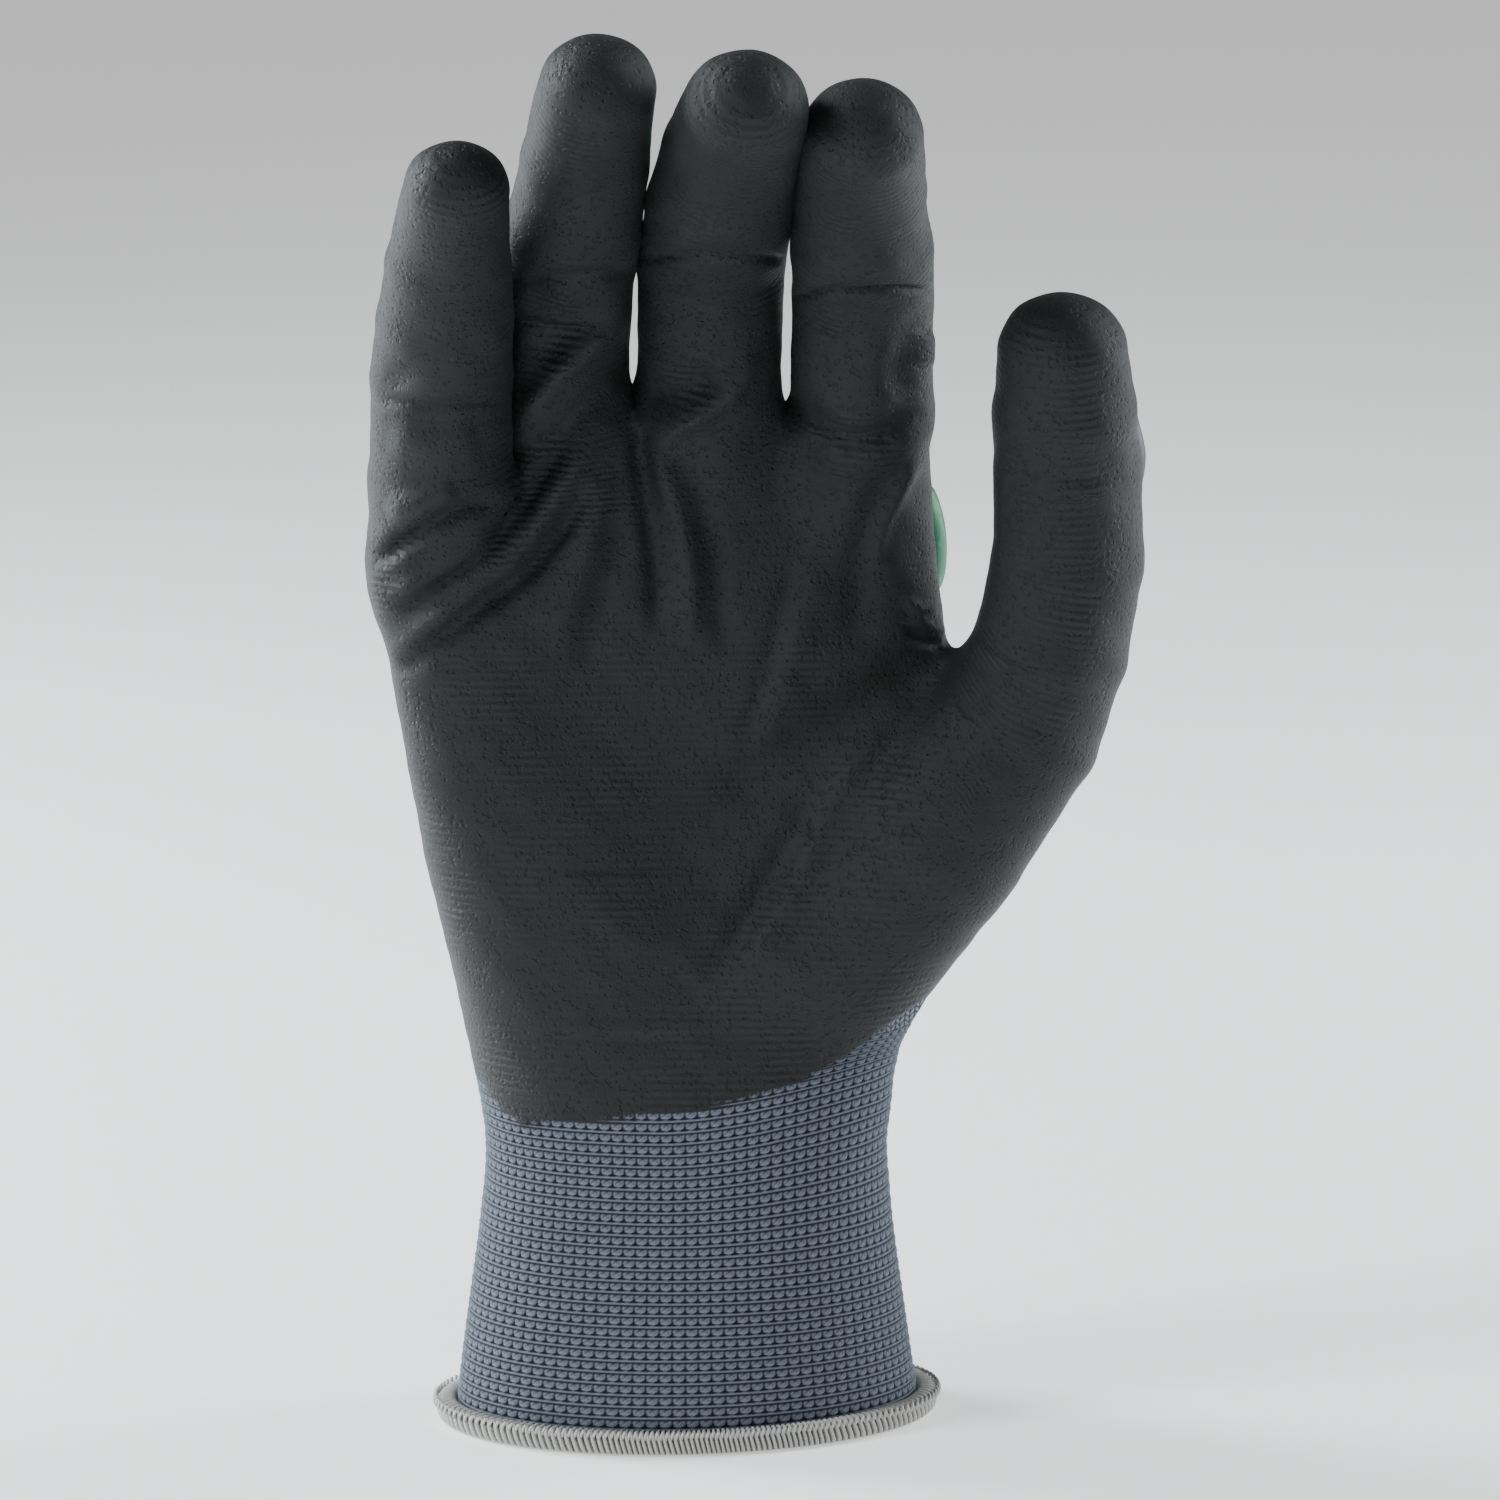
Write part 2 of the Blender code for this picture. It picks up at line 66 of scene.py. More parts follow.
# Half widths, half depths and sideways shifts of each finger at the knuckle, the middle of the first bone,
# the middle joint, the middle of the second bone, the end joint and the middle of the fingertip
STATIONS = {
    "index": (
        (10.4, 11.8, 11.3, 11.2, 10.6, 9.5),
        (10.5, 11.3, 10.4, 10.3, 9.8, 8.8),
        (0.0, 0.8, 0.3, -0.8, -1.5, -2.4),
    ),
    "middle": (
        (10.6, 11.9, 11.8, 12.0, 11.3, 9.9),
        (10.5, 11.3, 10.4, 10.3, 9.9, 9.0),
        (-0.8, -1.6, -2.0, -1.4, -0.6, 0.0),
    ),
    "ring": (
        (10.6, 11.2, 11.0, 10.8, 10.3, 9.3),
        (10.2, 11.2, 10.3, 10.2, 9.7, 8.8),
        (-1.0, -2.0, -1.6, -0.4, 0.8, 2.0),
    ),
    "pinky": (
        (10.8, 11.7, 11.5, 10.9, 10.0, 8.6),
        (10.3, 11.2, 10.2, 9.8, 9.0, 7.8),
        (0.0, 0.2, 0.4, 0.8, 1.3, 2.2),
    ),
}
# Length of the last bone, and its turn from the bone before it, in degrees
TIPS = {"index": (16.5, 12), "middle": (18, 14), "ring": (17.8, 11), "pinky": (16.4, 8)}

# Thumb: stations below the thumb's own joints, and the middle of the thumb's tip
THUMB_ROOT = (
    ((24.5, -6.0, 82.0), 18.0, 14.5),
    ((39.5, -9.0, 101.0), 17.0, 14.2),
    ((54.0, -11.5, 119.5), 14.2, 13.0),
)
THUMB_TIP = (60.4, -26.0, 182.6)
THUMB_STATIONS = ((12.6, 12.2, 12.0, 11.7, 10.4), (12.4, 11.8, 11.3, 10.9, 9.6))

# Palm: height, left edge, right edge, half depth, squareness of the section
PALM = np.array([
    (-4.0, -39.8, 39.8, 25.7, 2.0),
    (0.0, -39.2, 39.2, 25.3, 2.0),
    (8.0, -38.4, 38.0, 24.6, 2.0),
    (16.0, -37.3, 36.8, 24.1, 2.05),
    (31.0, -35.1, 34.6, 23.1, 2.15),
    (46.0, -33.3, 33.1, 22.4, 2.3),
    (60.0, -35.3, 34.6, 22.0, 2.5),
    (75.0, -38.8, 37.4, 21.2, 2.5),
    (90.0, -41.9, 39.2, 20.0, 2.5),
    (107.0, -45.0, 41.2, 18.6, 2.5),
    (124.0, -47.8, 43.2, 17.0, 2.5),
    (138.0, -50.0, 42.2, 15.2, 2.45),
    (154.0, -51.4, 39.2, 13.0, 2.4),
    (170.0, -51.6, 38.0, 11.0, 2.4),
])
WRIST_Z = 46.0
KNUCKLE_Z = 153.0
CUFF_YAW = 8.0
ARCH_DEPTH = 0.0032
ARCH_X = 8.0
# The webs lie on the higher of two arches: height, place of the top, and drop away from it
WEB_ARCHES = ((172.5, 2.0, 0.0146), (165.0, 8.0, 0.0046))

JOINT_SOFTNESS = 0.8
ROOT_SOFTNESS = {"index": 6.0, "middle": 6.0, "ring": 6.0, "pinky": 6.0, "thumb": 6.5}
WEB_SOFTNESS = 7.0

# Where the skin is cut, in millimetres along a bone from its joint
FINGER_START = 5.0
FINGER_SETTLE = 15.0
STRAY_SLACK = 0.8
BEND_REACH = {"middle_joint": 10.0, "end_joint": 7.0}
HAND_LOW = 70.0
HAND_BOX = ((-58, -48, HAND_LOW - 5), (80, 24, 200))
# Fingers are cut from the palm above ROOT_LOW and left of INDEX_RIGHT, and from each other on the web
# planes between WEB_LOW and WEB_HIGH.  What is right of THUMB_LEFT may be thumb at any height.
PALM_TOP = 178.0
INDEX_RIGHT, THUMB_LEFT = 42.5, 43.0
ROOT_LOW = 125.0
WEB_LOW, WEB_HIGH = 130.0, 182.0
WEB_PLANES = {"pinky": (-90.0, -29.2), "ring": (-29.2, -7.0), "middle": (-7.0, 15.7), "index": (15.7, 90.0)}
THUMB_FOLD_X = (43.6, 51.0)
THUMB_START, THUMB_BORDER = 5.0, 19.5
SKIN_THICKNESS = 0.9

# Camera: its distance, height angle and aim, and the lens that goes with them
CAMERA_DISTANCE = 1200.0
CAMERA_ELEVATION = 11.0
CAMERA_AIM = (10.41, 0.0, 112.93)
CAMERA_LENS = 174.5


def pivot(name):
    return np.array(JOINTS[name]["pos_m"]) / MM


def hinge(name):
    axis = np.array(JOINTS[name]["axis"], float)
    return axis / np.linalg.norm(axis)


def unit(v):
    v = np.asarray(v, float)
    return v / np.linalg.norm(v, axis=-1, keepdims=True)


def turned(v, axis, degrees):
    """v turned about a unit axis."""
    a = math.radians(degrees)
    return v * math.cos(a) + np.cross(axis, v) * math.sin(a) + axis * (axis @ v) * (1 - math.cos(a))


def smooth(x, low=0.0, high=1.0):
    t = np.clip((x - low) / (high - low), 0, 1)
    return t * t * (3 - 2 * t)


# ---------------------------------------------------------------- the field of the hand


def soft_min(a, b, k):
    h = np.clip(0.5 + 0.5 * (b - a) / k, 0, 1)
    return b + (a - b) * h - k * h * (1 - h)


def finger_joints(name):
    """The knuckle, the two joints and the middle of the tip of a finger."""
    points = [pivot(f"{name}_knuckle"), pivot(f"{name}_middle_joint"), pivot(f"{name}_end_joint")]
    length, turn = TIPS[name]
    last = turned(unit(points[2] - points[1]), hinge(f"{name}_end_joint"), turn)
    return points + [points[2] + last * length]


def chain(name):
    """A digit's stations: centre, half width and half depth, and its sideways axis."""
    if name == "thumb":
        joint, bend, tip = pivot("thumb_middle_joint"), pivot("thumb_end_joint"), np.array(THUMB_TIP)
        centres = [joint, (joint + bend) / 2 + (1.4, 0, 0), bend, (bend + tip) / 2, tip]
        stations = [(np.array(c), w, h) for c, w, h in THUMB_ROOT]
        stations += list(zip(centres, *THUMB_STATIONS))
        return stations, hinge("thumb_end_joint")
    knuckle, bend, end, tip = finger_joints(name)
    widths, depths, shifts = STATIONS[name]
    centres = [knuckle, (knuckle + bend) / 2, bend, (bend + end) / 2, end, tip]
    centres = [centre + (shift, 0, 0) for centre, shift in zip(centres, shifts)]
    return list(zip(centres, widths, depths)), hinge(f"{name}_knuckle")


# Close to the middle of a section the scaled distance has no limit, so it is held there
CORE = 0.05


def bone_field(p, first, last, sideways):
    """Distance to an elliptical bone with round ends between two stations."""
    (c0, w0, h0), (c1, w1, h1) = first, last
    axis = c1 - c0
    length = np.linalg.norm(axis)
    axis = axis / length
    across = unit(sideways - axis * (sideways @ axis))
    palmward = np.cross(across, axis)
    q = p - c0
    along = q @ axis
    share = np.clip(along / length, 0, 1)
    a, b, c = q @ across, q @ palmward, along - share * length
    w = w0 + (w1 - w0) * share
    h = h0 + (h1 - h0) * share
    size = np.sqrt(a * a + b * b + c * c)
    ratio = np.sqrt((a / w) ** 2 + (b / h) ** 2 + (c / np.minimum(w, h)) ** 2)
    return np.where(ratio < CORE, -h, size * (1 - 1 / np.maximum(ratio, CORE)))


CHAINS = {name: chain(name) for name in (*FINGERS, "thumb")}


def digit_field(p, name):
    stations, sideways = CHAINS[name]
    total = None
    for first, last in zip(stations, stations[1:]):
        near = bone_field(p, first, last, sideways)
        total = near if total is None else soft_min(total, near, JOINT_SOFTNESS)
    return total


def palm_section(z):
    """Smoothed values of the palm's table at heights z."""
    values = []
    for column in range(1, 5):
        blur = [np.interp(z + shift, PALM[:, 0], PALM[:, column]) for shift in (-4.0, 0.0, 4.0)]
        values.append((blur[0] + 2 * blur[1] + blur[2]) / 4)
    return values


def web_height(x):
    return np.maximum.reduce([top - drop * (x - middle) ** 2 for top, middle, drop in WEB_ARCHES])


def palm_field(p):
    x, y, z = p[:, 0], p[:, 1], p[:, 2]
    yaw = np.radians(CUFF_YAW) * np.clip(1 - z / WRIST_Z, 0, 1)
    x, y = x * np.cos(yaw) + y * np.sin(yaw), y * np.cos(yaw) - x * np.sin(yaw)
    left, right, depth, square = palm_section(z)
    grown = np.clip((z - WRIST_Z) / (KNUCKLE_Z - WRIST_Z), 0, 1)
    y = y + ARCH_DEPTH * grown * (x - ARCH_X) ** 2
    a = np.abs(x - (left + right) / 2)
    b = np.abs(y)
    half = (right - left) / 2
    ratio = ((a / half) ** square + (b / depth) ** square) ** (1 / square)
    size = np.sqrt(a * a + b * b)
    section = np.where(ratio < CORE, -depth, size * (1 - 1 / np.maximum(ratio, CORE)))
    top = (z - web_height(x)) * 0.97
    return -soft_min(-section, -top, WEB_SOFTNESS)


def skin_field(p, names):
    palm = palm_field(p)
    total = None
    for name in names:
        near = soft_min(palm, digit_field(p, name), ROOT_SOFTNESS[name])
        total = near if total is None else np.minimum(total, near)
    return palm if total is None else total


def hand_field(p):
    return skin_field(p, (*FINGERS, "thumb"))


def finger_field(p, name):
    """The palm with one finger, and the neighbours only where their roots are still part of the palm."""
    palm = palm_field(p)
    own = soft_min(palm, digit_field(p, name), ROOT_SOFTNESS[name])
    total = own
    place = FINGERS.index(name)
    for other in FINGERS[max(place - 1, 0):place + 2]:
        if other != name:
            digit = digit_field(p, other)
            near = soft_min(palm, digit, ROOT_SOFTNESS[other])
            total = np.minimum(total, np.where(palm < digit + STRAY_SLACK, near, own))
    return total


def gradient(field, p, reach=0.25):
    result = np.empty_like(p)
    for axis in range(3):
        shift = np.zeros(3)
        shift[axis] = reach
        result[:, axis] = (field(p + shift) - field(p - shift)) / (2 * reach)
    return result


def settle_on(field, p, rounds):
    """Moves points along the field's gradient until the field is zero there."""
    for _ in range(rounds):
        slope = gradient(field, p)
        step = field(p)[:, None] * slope / np.maximum((slope * slope).sum(1), 0.05)[:, None]
        size = np.linalg.norm(step, axis=1, keepdims=True)
        p = p - step * np.minimum(1, 2.0 / np.maximum(size, 1e-9))
    return p


# ---------------------------------------------------------------- the surface of a field


def sample(field, axes):
    """The field on a grid, worked out only near its surface."""
    grid = np.stack(np.meshgrid(*axes, indexing="ij"), -1)
    skip = 4
    coarse = grid[::skip, ::skip, ::skip]
    value = field(coarse.reshape(-1, 3)).reshape(coarse.shape[:3])
    for axis in range(3):
        value = np.repeat(value, skip, axis)
    value = value[tuple(slice(0, n) for n in grid.shape[:3])].copy()
    near = np.abs(value) < 2.2 * skip * SKIN_STEP
    value[near] = field(grid[near])
    return value


def surface_net(field, low, high):
    """A mesh of squares over the surface where the field is zero, inside a box."""
    step = SKIN_STEP
    axes = [a + step * np.arange(int(math.ceil((b - a) / step)) + 1) for a, b in zip(low, high)]
    value = sample(field, axes)
    cells = tuple(n - 1 for n in value.shape)
    total = np.zeros((np.prod(cells), 3))
    number = np.zeros(np.prod(cells))
    edges = []
    for axis in range(3):
        first, second = [slice(None)] * 3, [slice(None)] * 3
        first[axis], second[axis] = slice(0, -1), slice(1, None)
        a, b = value[tuple(first)], value[tuple(second)]
        crossing = (a < 0) != (b < 0)
        index = np.argwhere(crossing)
        point = index.astype(float)
        point[:, axis] += a[crossing] / (a[crossing] - b[crossing])
        around = []
        b_axis, c_axis = (axis + 1) % 3, (axis + 2) % 3
        for db, dc in ((0, 0), (1, 0), (1, 1), (0, 1)):
            cell = index.copy()
            cell[:, b_axis] -= db
            cell[:, c_axis] -= dc
            good = ((cell >= 0) & (cell < cells)).all(1)
            flat = np.full(len(cell), -1)
            flat[good] = np.ravel_multi_index(cell[good].T, cells)
            number += np.bincount(flat[good], minlength=len(number))
            for k in range(3):
                total[:, k] += np.bincount(flat[good], point[good, k], minlength=len(number))
            around.append(flat)
        quads = np.stack(around, 1)
        outward = a[crossing] < 0
        quads[~outward] = quads[~outward][:, ::-1]
        edges.append(quads[(quads >= 0).all(1)])
    used = number > 0
    names = np.full(len(number), -1)
    names[used] = np.arange(used.sum())
    points = total[used] / number[used][:, None] * step + np.array(low)
    return points, names[np.concatenate(edges)]


def relax(points, faces, field):
    """Evens out the mesh and brings it back to the surface."""
    pairs = np.concatenate([faces[:, (i, (i + 1) % 4)] for i in range(4)])
    count = np.bincount(pairs[:, 0], minlength=len(points))
    for _ in range(2):
        beside = points[pairs[:, 1]]
        mean = np.stack([np.bincount(pairs[:, 0], beside[:, k], minlength=len(points)) for k in range(3)], 1)
        mean = mean / np.maximum(count, 1)[:, None]
        inner = count >= 4
        points = np.where(inner[:, None], (points + mean) / 2, points)
        points = settle_on(field, points, 1)
    return settle_on(field, points, 2)


class Skin:
    """A cut-out of the hand's surface, held as a bmesh until it is dressed."""

    def __init__(self, field, low, high):
        self.field = field
        points, self.faces = surface_net(field, low, high)
        self.points = relax(points, self.faces, field)

    def mesh(self):
        mesh = bmesh.new()
        verts = [mesh.verts.new(p) for p in self.points]
        for face in self.faces:
            mesh.faces.new([verts[i] for i in face])
        return mesh


def slice_at(mesh, point, normal, where=lambda c: True):
    """Cuts the faces whose centre passes the test along a plane."""
    faces = [f for f in mesh.faces if where(f.calc_center_median())]
    geometry = faces + list({e for f in faces for e in f.edges}) + list({v for f in faces for v in f.verts})
    bmesh.ops.bisect_plane(mesh, geom=geometry, dist=1e-4, plane_co=Vector(point), plane_no=Vector(normal))


def keep(mesh, test):
    """Deletes the faces whose centre fails the test."""
    gone = [f for f in mesh.faces if not test(f.calc_center_median())]
    bmesh.ops.delete(mesh, geom=gone, context="FACES")


def side(point, normal):
    """A test of which side of a plane a place is on."""
    origin, direction = Vector(point), Vector(normal)
    return lambda c: (c - origin).dot(direction) > 0


# ---------------------------------------------------------------- the front drawing and the folds

EYE_BACK = np.array((0, -math.cos(math.radians(CAMERA_ELEVATION)), math.sin(math.radians(CAMERA_ELEVATION))))
EYE_RIGHT = np.array((1.0, 0.0, 0.0))
EYE_UP = np.array((0, math.sin(math.radians(CAMERA_ELEVATION)), math.cos(math.radians(CAMERA_ELEVATION))))
EYE = np.array(CAMERA_AIM) + CAMERA_DISTANCE * EYE_BACK


def drawing(p):
    """Where a place lands in the front drawing, in millimetres from the middle of the hem."""
    def flat(q):
        d = q - EYE
        scale = CAMERA_DISTANCE / -(d @ EYE_BACK)
        return np.stack((d @ EYE_RIGHT * scale, d @ EYE_UP * scale), -1)
    return flat(p) - flat(np.zeros((1, 3)))


FOLD_DEPTH = 1.15

# Folds as lines in the front drawing: width and height in millimetres, then the line's points.  A
# negative height is a groove.
PALM_FOLDS = (
    (3.0, 1.9, ((-14.5, 161.0), (-20.5, 153.5), (-24.5, 147.0), (-29.5, 140.0), (-36.0, 135.5),
                (-42.5, 129.5), (-47.5, 124.0))),
    (2.4, -1.3, ((-17.5, 161.5), (-23.5, 154.5), (-28.0, 147.5), (-33.0, 142.0), (-39.5, 137.0),
                 (-48.5, 131.5))),
    (2.3, -1.3, ((-15.5, 153.5), (-20.0, 146.0), (-26.5, 138.5), (-36.0, 131.5), (-43.5, 125.5),
                 (-49.5, 120.5))),
    (1.7, -1.6, ((-53.0, 139.0), (-47.5, 143.0), (-42.5, 145.5), (-36.0, 149.0), (-31.0, 150.5))),
    (2.6, 0.9, ((-50.0, 148.0), (-44.5, 149.5), (-38.0, 152.5))),
    (2.2, 1.0, ((-31.0, 145.0), (-37.0, 140.5), (-43.5, 136.5), (-49.5, 134.5))),
    (3.2, 0.7, ((-14.5, 156.0), (-16.0, 145.0), (-18.5, 136.0), (-23.0, 126.0))),
    (3.0, -0.8, ((-10.5, 152.0), (-12.5, 141.0), (-15.0, 132.0), (-18.0, 122.0))),
    (2.2, -1.3, ((-8.0, 163.5), (-7.5, 156.0), (-6.5, 147.0), (-5.0, 137.0), (-5.5, 128.0))),
    (2.6, 1.2, ((-7.0, 161.0), (-3.6, 154.0), (-0.8, 145.0), (0.6, 135.0), (-0.2, 126.0))),
    (2.4, -0.7, ((-2.0, 158.5), (2.2, 151.0), (4.4, 142.0), (5.4, 132.0), (6.0, 124.0))),
    (2.6, -0.6, ((26.5, 151.0), (22.0, 156.0), (18.5, 160.0))),
    (1.4, 0.9, ((38.0, 157.5), (35.2, 152.0), (32.2, 146.0), (30.5, 139.0))),
    (3.6, -1.0, ((33.6, 156.0), (29.8, 147.0), (28.2, 140.0), (28.3, 133.5), (26.0, 125.0))),
    (2.0, -0.55, ((18.5, 143.0), (15.5, 132.0), (13.0, 122.0), (9.0, 109.0))),
    (2.8, 0.5, ((22.5, 142.0), (19.0, 129.0), (16.0, 119.0), (12.0, 107.0))),
    (17.0, -1.8, ((-30.0, 122.0), (-6.0, 106.0), (0.0, 88.0), (-4.0, 76.0))),
    (12.0, 1.5, ((44.0, 112.0), (32.0, 92.0), (20.0, 76.0), (6.0, 64.0))),
    (5.5, -1.8, ((44.5, 127.0), (33.5, 120.0), (25.0, 114.0), (17.5, 108.5), (9.5, 103.5), (1.0, 100.0))),
    (3.5, 1.5, ((36.0, 116.5), (28.5, 108.0), (23.2, 100.5), (19.6, 92.5), (15.7, 84.0), (10.8, 76.0),
                (4.5, 69.0))),
    (3.2, -1.4, ((24.5, 104.5), (17.0, 93.0), (12.4, 84.0), (7.4, 76.0), (1.5, 70.5))),
    (1.2, 0.16, ((-24.0, 63.5), (-8.0, 63.0), (8.0, 64.2))),
    (1.2, -0.16, ((-24.0, 61.2), (-8.0, 60.8), (8.0, 62.0))),
    (1.3, 0.5, ((37.0, 131.5), (40.0, 129.0), (43.5, 128.5))),
    (1.1, -0.6, ((36.0, 129.0), (39.5, 127.0), (43.5, 126.2))),
    (1.0, 0.5, ((35.5, 134.0), (38.5, 132.0), (41.5, 131.8))),
)
FOLDS = {
    "pinky": (
        (1.1, -0.55, ((-53.0, 166.5), (-42.5, 165.8), (-30.0, 166.5))),
        (3.2, -0.9, ((-53.0, 167.5), (-42.5, 172.5), (-31.0, 176.5))),
        (4.5, 0.7, ((-50.0, 160.0), (-42.0, 158.5), (-34.0, 159.5))),
    ),
    "ring": (
        (1.5, -0.9, ((-29.0, 186.3), (-18.5, 187.0), (-8.0, 188.0))),
        (2.6, 1.5, ((-9.0, 183.5), (-14.5, 177.5), (-21.0, 171.5), (-25.0, 166.5), (-28.5, 161.5))),
        (3.6, -0.9, ((-28.0, 184.0), (-21.0, 179.5), (-24.5, 172.5))),
        (2.8, -1.4, ((-8.0, 176.0), (-14.0, 168.0), (-20.5, 161.5), (-27.0, 158.0))),
    ),
    "middle": (
        (0.8, -0.9, ((-9.0, 190.0), (2.0, 190.4), (20.0, 189.5))),
        (2.6, 0.6, ((-4.0, 193.5), (3.0, 194.0), (14.0, 193.5))),
        (3.0, -0.6, ((-5.5, 202.5), (2.0, 203.5), (10.0, 205.5))),
        (3.6, -1.5, ((-9.0, 167.0), (-1.0, 168.0), (6.0, 171.0))),
        (2.4, 1.3, ((12.0, 174.5), (6.5, 167.5), (0.5, 163.2), (-6.0, 160.5))),
    ),
    "index": (
        (0.75, -1.1, ((16.0, 183.6), (23.5, 184.6), (41.0, 185.0))),
        (2.4, 0.5, ((18.0, 187.5), (26.0, 188.0), (38.0, 188.5))),
        (2.6, -1.9, ((14.5, 167.5), (20.5, 162.6), (26.5, 159.3), (32.5, 160.5), (39.0, 166.0))),
        (3.0, -0.9, ((40.0, 182.5), (36.3, 175.5), (35.0, 171.5), (37.0, 166.0))),
        (3.0, 0.9, ((40.5, 178.0), (39.5, 172.0))),
    ),
    "thumb": (
        (3.0, -0.35, ((52.0, 156.0), (62.0, 157.0), (73.0, 156.0))),
        (1.0, -0.3, ((53.0, 153.0), (62.0, 153.6), (70.0, 153.0))),
    ),
}


def line_distance(flat, line):
    """Distance to a broken line, and how far along it the nearest place is, from 0 to 1."""
    best = np.full(len(flat), 1e9)
    share = np.zeros(len(flat))
    points = np.array(line)
    lengths = np.linalg.norm(np.diff(points, axis=0), axis=1)
    starts = np.concatenate(([0], np.cumsum(lengths)))
    for k in range(len(points) - 1):
        direction = (points[k + 1] - points[k]) / lengths[k]
        along = np.clip((flat - points[k]) @ direction, 0, lengths[k])
        away = np.linalg.norm(flat - points[k] - along[:, None] * direction, axis=1)
        nearer = away < best
        best[nearer] = away[nearer]
        share[nearer] = ((starts[k] + along) / starts[-1])[nearer]
    return best, share


def fold_height(flat, facing, digit):
    """The height of all folds at places of the drawing."""
    total = np.zeros(len(flat))
    for width, height, line in PALM_FOLDS + (FOLDS.get(digit) or ()):
        away, share = line_distance(flat, line)
        taper = smooth(share, -0.05, 0.22) * smooth(1 - share, -0.05, 0.22)
        total += height * np.exp(-((away / width) ** 2) * 1.4) * taper
    return FOLD_DEPTH * total * smooth(facing, -0.05, 0.35)


# The lengths and heights of the fabric's waves
WAVE_SIZES = ((37, 0.16), (27, 0.11), (19, 0.07), (13, 0.05), (9, 0.04), (6.5, 0.035), (5, 0.03))
DRAW = np.random.default_rng(7)
WAVES = [
    (unit(DRAW.normal(size=3)) * 2 * math.pi / length, DRAW.uniform(0, 2 * math.pi), height)
    for length, height in WAVE_SIZES
]


def lumps(p):
    """Soft unevenness of the fabric, as a sum of long waves."""
    return sum(height * np.sin(p @ wave + phase) for wave, phase, height in WAVES)


# The coating's lower edge in the front drawing
COATING_EDGE = np.array([
    (-60.0, 56.0), (-34.5, 55.0), (-33.0, 52.0), (-31.0, 49.3), (-27.7, 46.9), (-20.0, 47.0), (-8.0, 48.0),
    (2.0, 49.3), (10.0, 51.2), (16.8, 53.0), (26.0, 58.0), (35.0, 64.4), (41.0, 68.8), (60.0, 72.0),
])
COATING_WRAP = -0.42
TIP_WRAP = 1.1
COATING_HEIGHT = 0.35


def coating_margin(p, normal, palmward, ahead):
    """How far inside the coating's edge a place is: above 0 is coated."""
    flat = drawing(p)
    low = (flat[:, 1] - np.interp(flat[:, 0], COATING_EDGE[:, 0], COATING_EDGE[:, 1])) / 2.0
    low = np.where(p[:, 1] > 2.0, low - (p[:, 1] - 2.0) * 0.8, low)
    tip = np.maximum((normal * ahead).sum(1), 0)
    around = ((normal * palmward).sum(1) + TIP_WRAP * tip - COATING_WRAP) * 9.0
    wobble = 0.5 * np.sin(p[:, 2] / 7.0) + 0.4 * np.sin(p[:, 2] / 3.1 + p[:, 0] / 5.0)
    return np.minimum(low, around + wobble * 0.6)


# ---------------------------------------------------------------- digit coordinates


def digit_frame(p, name):
    """For places near a digit: the way its pad faces, the way it points, and (across, along) for the knit."""
    stations, sideways = CHAINS[name]
    centres = [c for c, _, _ in stations]
    best = np.full(len(p), 1e9)
    palmward = np.zeros_like(p)
    ahead = np.zeros_like(p)
    knit = np.zeros((len(p), 2))
    travelled = centres[0][2]
    for c0, c1 in zip(centres, centres[1:]):
        length = np.linalg.norm(c1 - c0)
        axis = (c1 - c0) / length
        across = unit(sideways - axis * (sideways @ axis))
        along = (p - c0) @ axis
        inside = np.clip(along, 0, length)
        away = np.linalg.norm(p - c0 - inside[:, None] * axis, axis=1)
        nearer = away < best
        best[nearer] = away[nearer]
        palmward[nearer] = np.cross(across, axis)
        ahead[nearer] = axis
        knit[nearer, 0] = (((p - c0) @ across) + c0 @ across)[nearer]
        knit[nearer, 1] = travelled + np.where(c0 is centres[0], along, np.maximum(along, 0))[nearer]
        travelled += length
    return palmward, ahead, knit


def skin_frame(p, digit):
    """The way the palm side faces, the way the digit points and the knit coordinates, from palm to digit."""
    palmward = np.tile((0.0, -1.0, 0.0), (len(p), 1))
    knit = np.stack((p[:, 0], p[:, 2]), 1)
    if digit is None:
        return palmward, palmward * 0, knit
    finger_palmward, ahead, finger_knit = digit_frame(p, digit)
    if digit == "thumb":
        share = smooth(p[:, 0], *THUMB_KNIT_X)[:, None]
    else:
        knuckle, bend = finger_joints(digit)[:2]
        along = (p - knuckle) @ unit(bend - knuckle)
        share = smooth(along, FINGER_START, FINGER_START + FINGER_SETTLE)[:, None]
    palmward = unit(palmward * (1 - share) + finger_palmward * share)
    return palmward, ahead * share, knit * (1 - share) + finger_knit * share


# Across this stretch the knit turns from the palm's direction to the thumb's
THUMB_KNIT_X = (38.0, 52.0)
KNIT_WALE = 1.65
KNIT_COURSE = 1.3


def dress(p, normal, digit):
    """Everything worked into the skin at places p: height along the normal, and the painted values."""
    palmward, ahead, knit = skin_frame(p, digit)
    folds = fold_height(drawing(p), normal @ EYE_BACK, digit)
    margin = coating_margin(p, normal, palmward, ahead)
    coat = smooth(margin, -0.15, 0.35)
    height = folds + COATING_HEIGHT * (coat - 1) + lumps(p)
    return height, coat, knit, folds


# ---------------------------------------------------------------- turning skin into pieces


